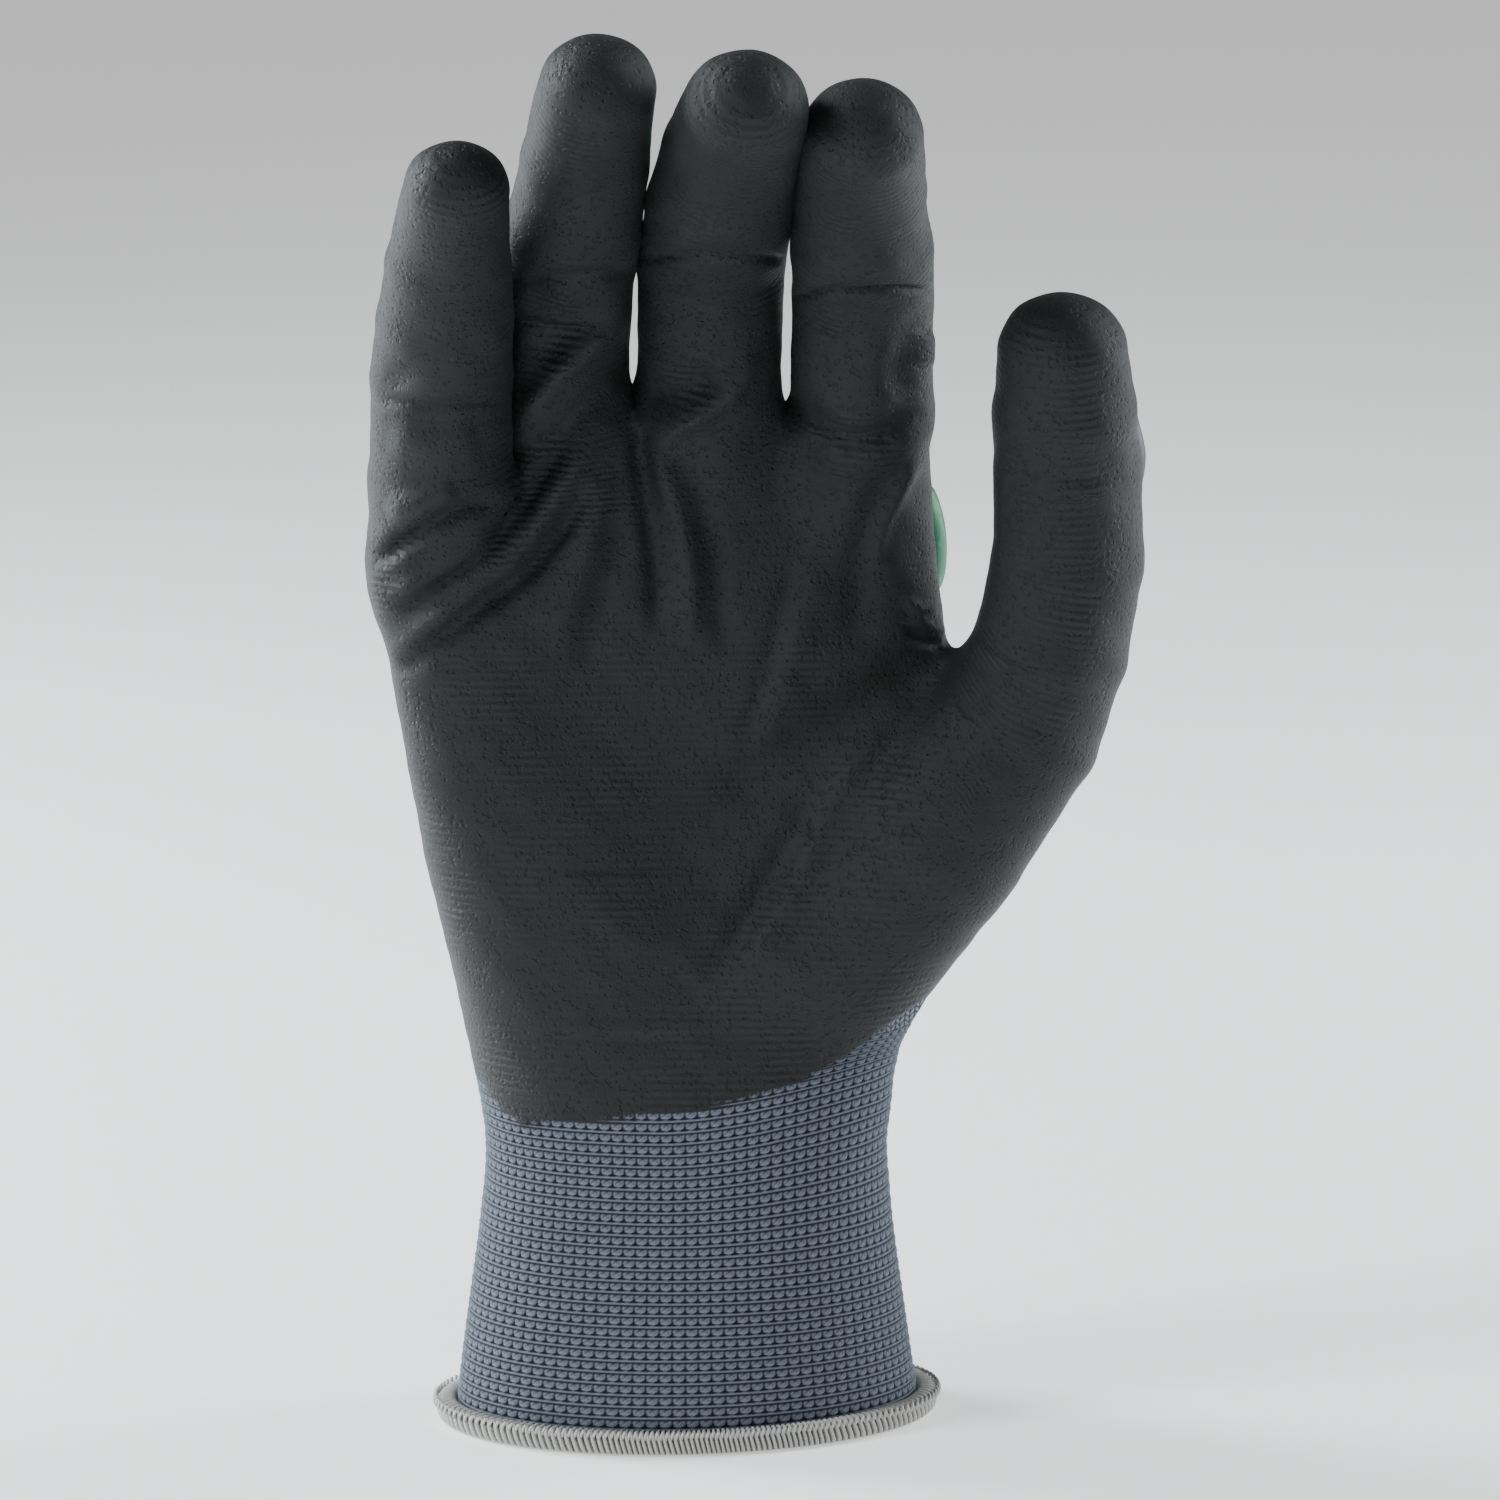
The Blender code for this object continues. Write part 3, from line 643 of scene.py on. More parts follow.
def write_mesh(name, points, faces, normals=None, values=None):
    """A mesh object in metres, with its normals and point values."""
    data = bpy.data.meshes.new(name)
    sizes = np.array([len(f) for f in faces], np.int32)
    flat = np.concatenate([np.asarray(f, np.int32) for f in faces])
    data.vertices.add(len(points))
    data.vertices.foreach_set("co", (np.asarray(points) * MM).astype(np.float32).ravel())
    data.loops.add(len(flat))
    data.loops.foreach_set("vertex_index", flat)
    data.polygons.add(len(sizes))
    data.polygons.foreach_set("loop_start", np.concatenate(([0], np.cumsum(sizes)[:-1])).astype(np.int32))
    data.polygons.foreach_set("loop_total", sizes)
    data.update(calc_edges=True)
    data.validate()
    data.shade_smooth()
    for key, value in (values or {}).items():
        value = np.asarray(value, np.float32)
        kind = "FLOAT_VECTOR" if value.ndim == 2 else "FLOAT"
        attribute = data.attributes.new(key, kind, "POINT")
        attribute.data.foreach_set("vector" if value.ndim == 2 else "value", value.ravel())
    if normals is not None:
        data.normals_split_custom_set_from_vertices(np.asarray(normals, np.float32))
    thing = bpy.data.objects.new(name, data)
    bpy.context.scene.collection.objects.link(thing)
    return thing


def border_edges(faces):
    """The directed edges of faces that have no face on their other side."""
    seen = {}
    for face in faces:
        for a, b in zip(face, (*face[1:], face[0])):
            seen[(a, b)] = True
    return [(a, b) for a, b in seen if (b, a) not in seen]


def finish_skin(name, mesh, field, digit):
    """Dresses a cut skin: works in its folds, gives it a back and its painted values."""
    mesh.verts.index_update()
    points = np.array([v.co for v in mesh.verts])
    faces = [[v.index for v in f.verts] for f in mesh.faces]
    mesh.free()
    normal = unit(gradient(field, points))
    height, coat, knit, folds = dress(points, normal, digit)
    first = unit(np.cross(normal, (0.31, 0.2, 0.93)))
    second = np.cross(normal, first)
    reach = 0.3
    lean = np.zeros_like(points)
    for tangent in (first, second):
        ahead = dress(points + tangent * reach, normal, digit)[0]
        behind = dress(points - tangent * reach, normal, digit)[0]
        lean += tangent * ((ahead - behind) / (2 * reach))[:, None]
    outer = points + normal * height[:, None]
    outer_normal = unit(normal - lean)
    inner = points + normal * (height - SKIN_THICKNESS)[:, None]
    count = len(points)
    backs = [[i + count for i in reversed(face)] for face in faces]
    rims = [[b, a, a + count, b + count] for a, b in border_edges(faces)]
    both = np.concatenate((outer, inner))
    values = {
        "rest": np.concatenate((points, inner)),
        "weave": np.concatenate((np.pad(knit, ((0, 0), (0, 1))),) * 2),
        "coat": np.concatenate((coat, np.zeros(count))),
        "fold": np.concatenate((folds, np.zeros(count))),
        "relief": np.zeros(2 * count),
        "ribbed": np.zeros(2 * count),
    }
    thing = write_mesh(name, both, faces + backs + rims, np.concatenate((outer_normal, -normal)), values)
    thing.data.materials.append(MATERIALS["skin"])
    return thing


def bend_piece(piece, before, body, start, end):
    """Bakes a piece's placement into its mesh; it is not bent.  The bodies and the two places are not used.
    """
    tuple(np.array(start) * MM)
    tuple(np.array(end) * MM)
    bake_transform(piece)


def thumb_bends():
    """Each thumb piece: its two bodies, and where its bend starts and ends."""
    joint, end_joint, tip = pivot("thumb_middle_joint"), pivot("thumb_end_joint"), np.array(THUMB_TIP)
    along, after = unit(end_joint - joint), unit(tip - end_joint)
    return {
        "base": ("palm", "thumb_base", (THUMB_FOLD_X[0], 0, 100), (THUMB_FOLD_X[1], 0, 100)),
        "proximal": ("thumb_base", "thumb_proximal", joint + along * THUMB_START, joint + along * 18.0),
        "distal": ("thumb_proximal", "thumb_distal", end_joint - along * 9.0, end_joint + after * 9.0),
    }


def build_thumb(thumb, field):
    """The thumb's three pieces, cut from its side of the hand."""
    joint = pivot("thumb_middle_joint")
    along = unit(pivot("thumb_end_joint") - joint)
    borders = [(joint + along * reach, along) for reach in (THUMB_START, THUMB_BORDER)]
    for border in borders:
        slice_at(thumb, *border)
    past_first, past_second = [side(*border) for border in borders]
    tests = {
        "base": lambda c: not past_first(c),
        "proximal": lambda c: past_first(c) and not past_second(c),
        "distal": past_second,
    }
    for part, bodies in thumb_bends().items():
        mesh = thumb.copy()
        keep(mesh, tests[part])
        piece = finish_skin(f"thumb_{part}_skin", mesh, field, "thumb")
        bend_piece(piece, *bodies)
        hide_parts(f"liner_thumb_{part}", f"coating_thumb_{part}")
    thumb.free()


def build_hand():
    """The palm, and the root, middle and tip of each digit."""
    hand = Skin(hand_field, *HAND_BOX)
    palm = hand.mesh()
    starts = {}
    for name in FINGERS:
        joints = finger_joints(name)
        along = unit(joints[1] - joints[0])
        starts[name] = (joints[0] + along * FINGER_START, along)
    keep(palm, lambda c: c.x > THUMB_LEFT or c.z < PALM_TOP)
    slice_at(palm, (0, 0, HAND_LOW), (0, 0, 1))
    keep(palm, side((0, 0, HAND_LOW), (0, 0, 1)))
    for name in FINGERS[:3]:
        slice_at(palm, (WEB_PLANES[name][0], 0, 0), (1, 0, 0), lambda c: c.z > WEB_LOW)
    for name in FINGERS:
        low, high = WEB_PLANES[name]
        high = min(high, INDEX_RIGHT)
        here = lambda c: low < c.x < high and c.z > ROOT_LOW
        slice_at(palm, *starts[name], here)
        above = side(*starts[name])
        keep(palm, lambda c: not (here(c) and above(c)))
    slice_at(palm, (THUMB_FOLD_X[0], 0, 0), (1, 0, 0))
    thumb = palm.copy()
    keep(palm, lambda c: c.x < THUMB_FOLD_X[0])
    keep(thumb, lambda c: c.x > THUMB_FOLD_X[0])
    piece = finish_skin("palm_skin", palm, hand.field, None)
    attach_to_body(piece, "palm")
    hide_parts("liner_palm", "coating_palm")

    build_thumb(thumb, hand.field)
    for name in FINGERS:
        build_finger(name, starts[name])


def finger_bends(name):
    """Each finger piece: its two bodies, where its bend starts and ends, and where the piece ends."""
    knuckle, bend, end, tip = finger_joints(name)
    first, second, third = unit(bend - knuckle), unit(end - bend), unit(tip - end)
    reach, short = BEND_REACH["middle_joint"], BEND_REACH["end_joint"]
    next_length = np.linalg.norm(end - bend)
    return (
        ("proximal", "palm", knuckle + first * FINGER_START, bend - first * (reach + 1),
         (bend - first * (reach + 0.5), first)),
        ("middle", f"{name}_proximal", bend - first * reach, bend + second * reach,
         (bend + second * (reach + next_length - short) / 2, second)),
        ("distal", f"{name}_middle", end - second * short, end + third * short, None),
    )


def build_finger(name, start):
    joints = finger_joints(name)
    low = np.min(joints, axis=0) - 15
    high = np.max(joints, axis=0) + 15
    low[2] = joints[0][2] - 6
    skin = Skin(lambda p: finger_field(p, name), low, high)
    mesh = skin.mesh()
    slice_at(mesh, *start)
    keep(mesh, side(*start))
    left, right = WEB_PLANES[name]
    for x in (left, right):
        slice_at(mesh, (x, 0, 0), (1, 0, 0), lambda c: c.z < WEB_HIGH)
    centres = np.array([f.calc_center_median() for f in mesh.faces])
    beside = (centres[:, 0] < left) | (centres[:, 0] > right)
    stray = beside & (palm_field(centres) < digit_field(centres, name) - STRAY_SLACK)
    bmesh.ops.delete(mesh, geom=[f for f, bad in zip(mesh.faces, stray) if bad], context="FACES")
    pieces = finger_bends(name)
    for _, _, _, _, border in pieces[:2]:
        slice_at(mesh, *border)
    for k, (part, before, bend_start, bend_end, _) in enumerate(pieces):
        mine = mesh.copy()
        if k > 0:
            keep(mine, side(*pieces[k - 1][4]))
        if k < 2:
            beyond = side(*pieces[k][4])
            keep(mine, lambda c: not beyond(c))
        piece = finish_skin(f"{name}_{part}_skin", mine, skin.field, name)
        bend_piece(piece, before, f"{name}_{part}", bend_start, bend_end)
        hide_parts(f"liner_{name}_{part}", f"coating_{name}_{part}")
    mesh.free()


# ---------------------------------------------------------------- cuff and hem

WALES = 90
COURSES = 36
CUFF_LOW = 1.6
CUFF_RISE = 5.0
CELL_SAMPLES = 6
KNIT_RELIEF = 0.5
CUFF_THICKNESS = 1.3


def cuff_field(p):
    return skin_field(p, ("thumb",))


def cuff_places(angle, z):
    """Places of the skin round the cuff at angles and heights."""
    left, right, depth, _ = palm_section(z)
    centre = np.stack(((left + right) / 2, np.zeros_like(z), z), -1)
    direction = np.stack((np.cos(angle), np.sin(angle), np.zeros_like(angle)), -1)
    radius = 1 / np.sqrt((direction[..., 0] / ((right - left) / 2)) ** 2 + (direction[..., 1] / depth) ** 2)
    shape = direction.shape
    for _ in range(6):
        place = (centre + direction * radius[..., None]).reshape(-1, 3)
        radius = radius - cuff_field(place).reshape(shape[:-1]) * 0.95
    return centre + direction * radius[..., None]


def course_height(x, z):
    """Courses rise towards the thumb just below the coating."""
    side_share = smooth(x, -5.0, 36.0)
    return z + CUFF_RISE * side_share * smooth(z, 22.0, 56.0) * (1 - smooth(z, 56.0, HAND_LOW))


def knit_height(u, v):
    """The cuff's knit in one cell: a thin straight course line over a row of open loops."""
    a = np.abs(u - np.floor(u) - 0.5)
    b = v - np.floor(v)
    line = np.exp(-(((b - 0.13) / 0.10) ** 2)) * 0.85
    cup = np.exp(-(((b - (0.45 + 1.2 * a * a)) / 0.12) ** 2)) * (1 - 0.55 * smooth(a, 0.30, 0.5))
    roof = np.exp(-(((b - (0.92 - 1.0 * a * a)) / 0.09) ** 2)) * 0.8 * (1 - 0.65 * smooth(a, 0.28, 0.48))
    heart = np.exp(-((a / 0.24) ** 2) - ((b - 0.66) / 0.15) ** 2) * 0.75
    return np.maximum.reduce([line, cup, roof, heart])


def ring_faces(grid):
    """Squares between the rows of a grid whose columns run round a ring."""
    right = np.roll(grid, -1, 1)
    return np.stack((grid[:-1], right[:-1], right[1:], grid[1:]), -1).reshape(-1, 4)


def loop_faces(grid):
    """The squares of a ring whose last row meets its first."""
    return ring_faces(np.concatenate((grid, grid[:1])))


def build_cuff():
    """The knitted cuff, up under the coating's lower edge."""
    columns, rows = WALES * CELL_SAMPLES, COURSES * CELL_SAMPLES + 1
    z_row = np.linspace(CUFF_LOW, HAND_LOW, rows)
    fine = np.linspace(0, 2 * math.pi, 361) + math.pi / 2
    angle = np.empty((rows, columns))
    ring_z = np.repeat(z_row[:, None], 361, 1)
    ring = cuff_places(np.repeat(fine[None], rows, 0), ring_z)
    for k in range(rows):
        lengths = np.concatenate(([0], np.cumsum(np.linalg.norm(np.diff(ring[k], axis=0), axis=1))))
        angle[k] = np.interp(np.arange(columns) / columns * lengths[-1], lengths, fine)
    z = np.repeat(z_row[:, None], columns, 1)
    level = cuff_places(angle, z)
    z = course_height(level[..., 0], z)
    place = cuff_places(angle, z).reshape(-1, 3)
    u = np.repeat((np.arange(columns) / CELL_SAMPLES)[None], rows, 0).ravel()
    v = np.repeat((np.arange(rows) / CELL_SAMPLES)[:, None], columns, 1).ravel()
    normal = unit(gradient(cuff_field, place))
    palmward = np.tile((0.0, -1.0, 0.0), (len(place), 1))

    # The coating stops along whole knit cells, so its margin is read at the middle of each cell
    cell_u = (np.floor(u) * CELL_SAMPLES + CELL_SAMPLES // 2).astype(int) % columns
    cell_v = np.minimum(np.floor(v) * CELL_SAMPLES + CELL_SAMPLES // 2, rows - 1).astype(int)
    margin = coating_margin(place, normal, palmward, palmward * 0)
    margin = margin * 0.35 + margin[cell_v * columns + cell_u] * 0.65
    knit = knit_height(u, v)
    coat = smooth(margin + (0.5 - knit) * 0.35, -0.05, 0.25)
    back = smooth(place[:, 2], 50.0, 54.0) * smooth(place[:, 1], -1.0, 5.0)
    ribbed = (1 - back) * (1 - smooth(place[:, 2], 67.0, HAND_LOW))
    soft_fade = 1 - smooth(place[:, 2], 64.0, HAND_LOW)
    open_knit = KNIT_RELIEF * knit * (1 - coat) * ribbed
    filled = 0.05 * knit * soft_fade * coat
    folds = fold_height(drawing(place), normal @ EYE_BACK, None)
    cloth = lumps(place) * smooth(place[:, 2], 20.0, 60.0)
    height = open_knit + filled + COATING_HEIGHT * (smooth(margin, -0.1, 0.5) - 1) + folds + cloth
    height = height - 0.25 * KNIT_RELIEF * ribbed * (1 - coat)
    outer = place + normal * height[:, None]

    faces = ring_faces(np.arange(rows * columns).reshape(rows, columns))
    step = CELL_SAMPLES
    inner_rows = (place - normal * CUFF_THICKNESS).reshape(rows, columns, 3)[::step, ::step]
    shape = inner_rows.shape[:2]
    inner = np.arange(shape[0] * shape[1]).reshape(shape) + len(outer)
    backs = ring_faces(inner)[:, ::-1]
    inner_points = inner_rows.reshape(-1, 3)
    extra = len(inner_points)
    both = np.concatenate((place, inner_points))
    values = {
        "rest": both,
        "weave": both[:, (0, 2, 2)] * (1, 1, 0),
        "coat": np.concatenate((coat, np.zeros(extra))),
        "fold": np.concatenate((folds, np.zeros(extra))),
        "relief": np.concatenate((knit, np.full(extra, 0.6))),
        "ribbed": np.concatenate((ribbed, np.zeros(extra))),
    }
    points = np.concatenate((outer, inner_points))
    piece = write_mesh("knit_cuff", points, np.concatenate((faces, backs)), None, values)
    piece.data.materials.append(MATERIALS["skin"])
    bend_piece(piece, "cuff", "palm", (0, 0, 30), (0, 0, 62))
    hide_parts("liner_cuff")


STITCHES = 196
HEM_LOW, HEM_HIGH = 0.05, 3.5
HEM_RIM_Z, HEM_OUT, HEM_HALF_DEPTH = 1.7, 0.75, 1.55
HEM_SIDES = 20
CHAIN_Z, CHAIN_OUT, CHAIN_SWING, CHAIN_RADIUS = 3.35, 1.9, 0.55, 0.27
STITCH_SAMPLES = 8


def rim_ring(count, z, out):
    """Places round the rim at a height, moved outwards, with their outward directions."""
    angle = np.arange(count) / count * 2 * math.pi
    height = np.full(count, z)
    place = cuff_places(angle, height)
    outward = gradient(cuff_field, place)
    outward[:, 2] = 0
    outward = unit(outward)
    flare = 1.0 + 0.9 * np.abs(outward[:, 0]) ** 3
    return place + outward * (out * flare)[:, None], outward


def build_hem():
    """The overlocked edge: a fat rolled band of leaning stitches, with a chain along its top."""
    count, around = STITCHES * STITCH_SAMPLES, HEM_SIDES
    centre, outward = rim_ring(count, HEM_RIM_Z, HEM_OUT)
    turn = np.arange(around) / around * 2 * math.pi
    half_height = (HEM_HIGH - HEM_LOW) / 2
    middle = (HEM_HIGH + HEM_LOW) / 2
    s = np.arange(count) / STITCH_SAMPLES
    points = np.empty((count, around, 3))
    relief = np.empty((count, around))
    for k, a in enumerate(turn):
        c, d = math.cos(a), math.sin(a)
        squared = (abs(c) ** 3 + abs(d) ** 3) ** (-1 / 3)
        phase = s + 0.55 * d * (1 if c > 0 else -1) + 0.15 * np.sin(s * 0.37)
        ridge = np.abs(np.cos(math.pi * phase)) ** 0.8
        grow = 1 + 0.5 * (ridge - 0.75)
        upper = 0.35 * max(d, 0) * np.sin(math.pi * s) ** 2
        radial = c * squared * HEM_HALF_DEPTH * grow
        rise = d * squared * half_height * (1 if d < 0 else grow) + upper
        points[:, k] = centre + outward * radial[:, None]
        points[:, k, 2] = middle + np.maximum(rise, HEM_LOW - middle)
        relief[:, k] = ridge
    faces = loop_faces(np.arange(count * around).reshape(count, around))
    faces = np.roll(faces[:, ::-1], 1, axis=1)
    values = {"rest": points.reshape(-1, 3), "relief": relief.ravel()}
    hem = write_mesh("overlocked_hem", points.reshape(-1, 3), faces, None, values)
    hem.data.materials.append(MATERIALS["thread"])
    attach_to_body(hem, "cuff")
    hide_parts("cuff_hem")
    build_chain()


def tube(path, radius, sides):
    """A closed tube round a closed path: points and faces."""
    ahead = unit(np.roll(path, -1, 0) - np.roll(path, 1, 0))
    side_way = unit(np.cross(ahead, (0, 0, 1.0)))
    up = np.cross(side_way, ahead)
    turn = np.arange(sides) / sides * 2 * math.pi
    ring = side_way[:, None] * np.cos(turn)[None, :, None] + up[:, None] * np.sin(turn)[None, :, None]
    points = path[:, None] + ring * radius
    faces = loop_faces(np.arange(len(path) * sides).reshape(-1, sides))
    return points.reshape(-1, 3), faces


def build_chain():
    """The looper thread that zigzags along the top of the hem."""
    count = STITCHES * STITCH_SAMPLES
    path, outward = rim_ring(count, CHAIN_Z, CHAIN_OUT)
    s = np.arange(count) / STITCH_SAMPLES
    wave = np.sin(2 * math.pi * s)
    path[:, 2] += CHAIN_SWING * wave
    path += outward * (0.22 * np.cos(2 * math.pi * s))[:, None]
    along = unit(np.roll(path, -1, 0) - path)
    path += along * (0.35 * np.sin(4 * math.pi * s))[:, None]
    points, faces = tube(path, CHAIN_RADIUS, 6)
    values = {"rest": points, "relief": np.full(len(points), 0.9)}
    chain_piece = write_mesh("hem_chain_outer", points, faces, None, values)
    chain_piece.data.materials.append(MATERIALS["thread"])
    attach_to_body(chain_piece, "cuff")


# ---------------------------------------------------------------- moulded guards


def cast(field, origin, direction, far=45.0):
    """Where rays from inside the glove leave the skin."""
    low, high = np.zeros(len(origin)), np.full(len(origin), far)
    for _ in range(26):
        middle = (low + high) / 2
        inside = field(origin + direction * middle[:, None]) < 0
        low, high = np.where(inside, middle, low), np.where(inside, high, middle)
    return origin + direction * low[:, None]


def pad_grid(columns, rows):
    """A grid over a rounded rectangle, from -1 to 1 each way."""
    a, b = np.meshgrid(np.linspace(-1, 1, columns), np.linspace(-1, 1, rows), indexing="xy")
    corner = 0.42
    return a, b, a * np.sqrt(1 - corner * b * b), b * np.sqrt(1 - corner * a * a)


def build_pad(node, field, ray, height, profile, colour, attach):
    """A moulded pad on the skin in place of a node.  ray(x, y) gives origins and directions from inside."""
    columns, rows = ((41, 57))
    a, b, x, y = pad_grid(columns, rows)
    origin, direction = ray(x.ravel(), y.ravel())
    place = cast(field, origin, direction)
    normal = unit(gradient(field, place))
    edge = np.maximum(np.abs(a), np.abs(b)).ravel()
    body = smooth(1 - edge, 0.0, 0.16) ** 0.6
    rise = height * body * profile(x.ravel(), y.ravel())
    top = place + normal * (rise - 0.3 * (1 - body))[:, None]
    base = place - normal * 0.7
    grid = np.arange(rows * columns).reshape(rows, columns)
    faces = np.stack((grid[:-1, :-1], grid[:-1, 1:], grid[1:, 1:], grid[1:, :-1]), -1).reshape(-1, 4)
    test = np.cross(top[faces[0, 1]] - top[faces[0, 0]], top[faces[0, 3]] - top[faces[0, 0]])
    if test @ normal[faces[0, 0]] < 0:
        faces = faces[:, ::-1]
    under = faces[:, ::-1] + rows * columns
    skirt = [[v, u, u + rows * columns, v + rows * columns] for u, v in border_edges(faces.tolist())]
    points = np.concatenate((top, base))
    values = {"rest": points, "relief": np.concatenate((rise, np.zeros(len(base))))}
    faces = np.concatenate((faces, under, np.array(skirt)))
    piece = write_mesh(f"{node}_moulding", points, faces, None, values)
    piece.data.set_sharp_from_angle(angle=math.radians(60))
    piece.data.materials.append(MATERIALS[colour])
    attach(piece)
    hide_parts(node)


def grooves(count, depth, reach=0.72):
    """Cross grooves of a pad."""
    def profile(x, y):
        total = np.ones(len(x))
        for k in range(count):
            at = (k + 1) / (count + 1) * 2 - 1
            total -= depth * np.exp(-(((y - at) / 0.07) ** 2)) * smooth(reach - np.abs(x), 0.0, 0.08)
        return total
    return profile


def chevrons(count, depth):
    """V grooves of a pad."""
    def profile(x, y):
        total = np.ones(len(x))
        for k in range(count):
            at = (k + 1) / (count + 1) * 2 - 1
            away = y - at + 0.35 * np.abs(x) - 0.12
            total -= depth * np.exp(-((away / 0.06) ** 2)) * smooth(0.8 - np.abs(x), 0, 0.1)
        return total
    return profile


def plain(x, y):
    return np.ones(len(x))


# How far each kind of guard stands proud of the skin
PLATE_HEIGHT, PAD_HEIGHT, RIB_HEIGHT, FINGER_GUARD_HEIGHT, THUMB_GUARD_HEIGHT = 1.3, 3.6, 2.2, 2.6, 1.9
RAY_DEPTH = -4.0
# Where each finger's pad and rib lie across the back of the hand
KNUCKLES = {"index": 25.0, "middle": 4.5, "ring": -16.5, "pinky": -36.5}
INDEX_PAD_X = 24.5
INDEX_PAD_WRAP = 58.0
RIB_SPREAD = 0.84
# Each guard's reach along its bone, from the joint before it and from the joint after it
FINGER_GUARDS = (("proximal", "black", 17.0, -12.0, 0.4), ("middle", "green", 4.0, -6.0, 0.35))
THUMB_GUARDS = (("proximal", 6.5, 18.5), ("distal", 21.0, 44.0))


def turned_out(turn):
    """Level directions at angles from the +X side."""
    return np.stack((np.cos(turn), np.sin(turn), np.zeros(len(turn))), 1)


def back_ray(centre_x, half_width, low, high, side_wrap=0.0):
    """Rays out of the back of the palm, turning towards the index side by side_wrap degrees."""
    def ray(x, y):
        turn = np.radians(90 - side_wrap * smooth((x + 1) / 2, 0.45, 1.0))
        z = (low + high) / 2 + (high - low) / 2 * y
        return np.stack((centre_x + x * half_width, np.full(len(x), RAY_DEPTH), z), 1), turned_out(turn)
    return ray


def plate_ray(x, y):
    """Rays out of the back of the knuckles, which wrap round the index side."""
    across = -2.5 + x * 40.0
    turn = np.radians(90 - 66 * smooth(across, 22.0, 37.5))
    top = pivot("middle_knuckle")[2] + 8.0 - WEB_ARCHES[1][2] * (across - ARCH_X) ** 2
    z = top - 30.0 * (1 - y) / 2
    return np.stack((np.minimum(across, 31.0), np.full(len(x), RAY_DEPTH), z), 1), turned_out(turn)


def bone_ray(start, end, across, low, high, lean, spread):
    """Rays out of the back of a bone, from low to high along it, fanned out by spread degrees a side."""
    axis = unit(end - start)
    across = unit(across - axis * (across @ axis))
    back = -np.cross(across, axis)

    def ray(x, y):
        along = (low + high) / 2 + (high - low) / 2 * y
        turn = np.radians(lean + spread * x)
        direction = across * np.sin(turn)[:, None] + back * np.cos(turn)[:, None]
        return start + axis * along[:, None], direction
    return ray


def build_finger_guards(name):
    joints = finger_joints(name)
    across = hinge(f"{name}_knuckle")
    for k, (part, colour, low, high, depth) in enumerate(FINGER_GUARDS):
        start, end = joints[k], joints[k + 1]
        ray = bone_ray(start, end, across, low, np.linalg.norm(end - start) + high, 0, 52)
        _, before, bend_start, bend_end, _ = finger_bends(name)[k]
        build_pad(
            f"guard_{name}_{part}", lambda p: skin_field(p, (name,)), ray, FINGER_GUARD_HEIGHT,
            grooves(2, depth), colour,
            lambda piece: bend_piece(piece, before, f"{name}_{part}", bend_start, bend_end),
        )


def build_thumb_guards():
    start, end = pivot("thumb_middle_joint"), pivot("thumb_end_joint")
    for part, low, high in THUMB_GUARDS:
        ray = bone_ray(start, end, hinge("thumb_end_joint"), low, high, 2, 58)
        build_pad(
            f"guard_thumb_{part}", cuff_field, ray, THUMB_GUARD_HEIGHT, grooves(3, 0.35), "black",
            lambda piece: bend_piece(piece, *thumb_bends()[part]),
        )


def build_guards():
    def on_palm(piece):
        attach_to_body(piece, "palm")

    build_pad("knuckle_plate", hand_field, plate_ray, PLATE_HEIGHT, plain, "black", on_palm)
    for name in FINGERS:
        x = KNUCKLES[name]
        high = pivot(f"{name}_knuckle")[2] + 9.0
        pad_x, wrap = (INDEX_PAD_X, INDEX_PAD_WRAP) if name == "index" else (x, 0)
        pad = back_ray(pad_x, 8.2, high - 24, high, wrap)
        build_pad(f"knuckle_pad_{name}", hand_field, pad, PAD_HEIGHT, chevrons(4, 0.3), "green", on_palm)
        rib = back_ray(x * RIB_SPREAD, 4.4, 78.0, 120.0)
        build_pad(f"hand_rib_{name}", hand_field, rib, RIB_HEIGHT, grooves(6, 0.45, 0.9), "black", on_palm)
        build_finger_guards(name)
    build_thumb_guards()


# ---------------------------------------------------------------- materials


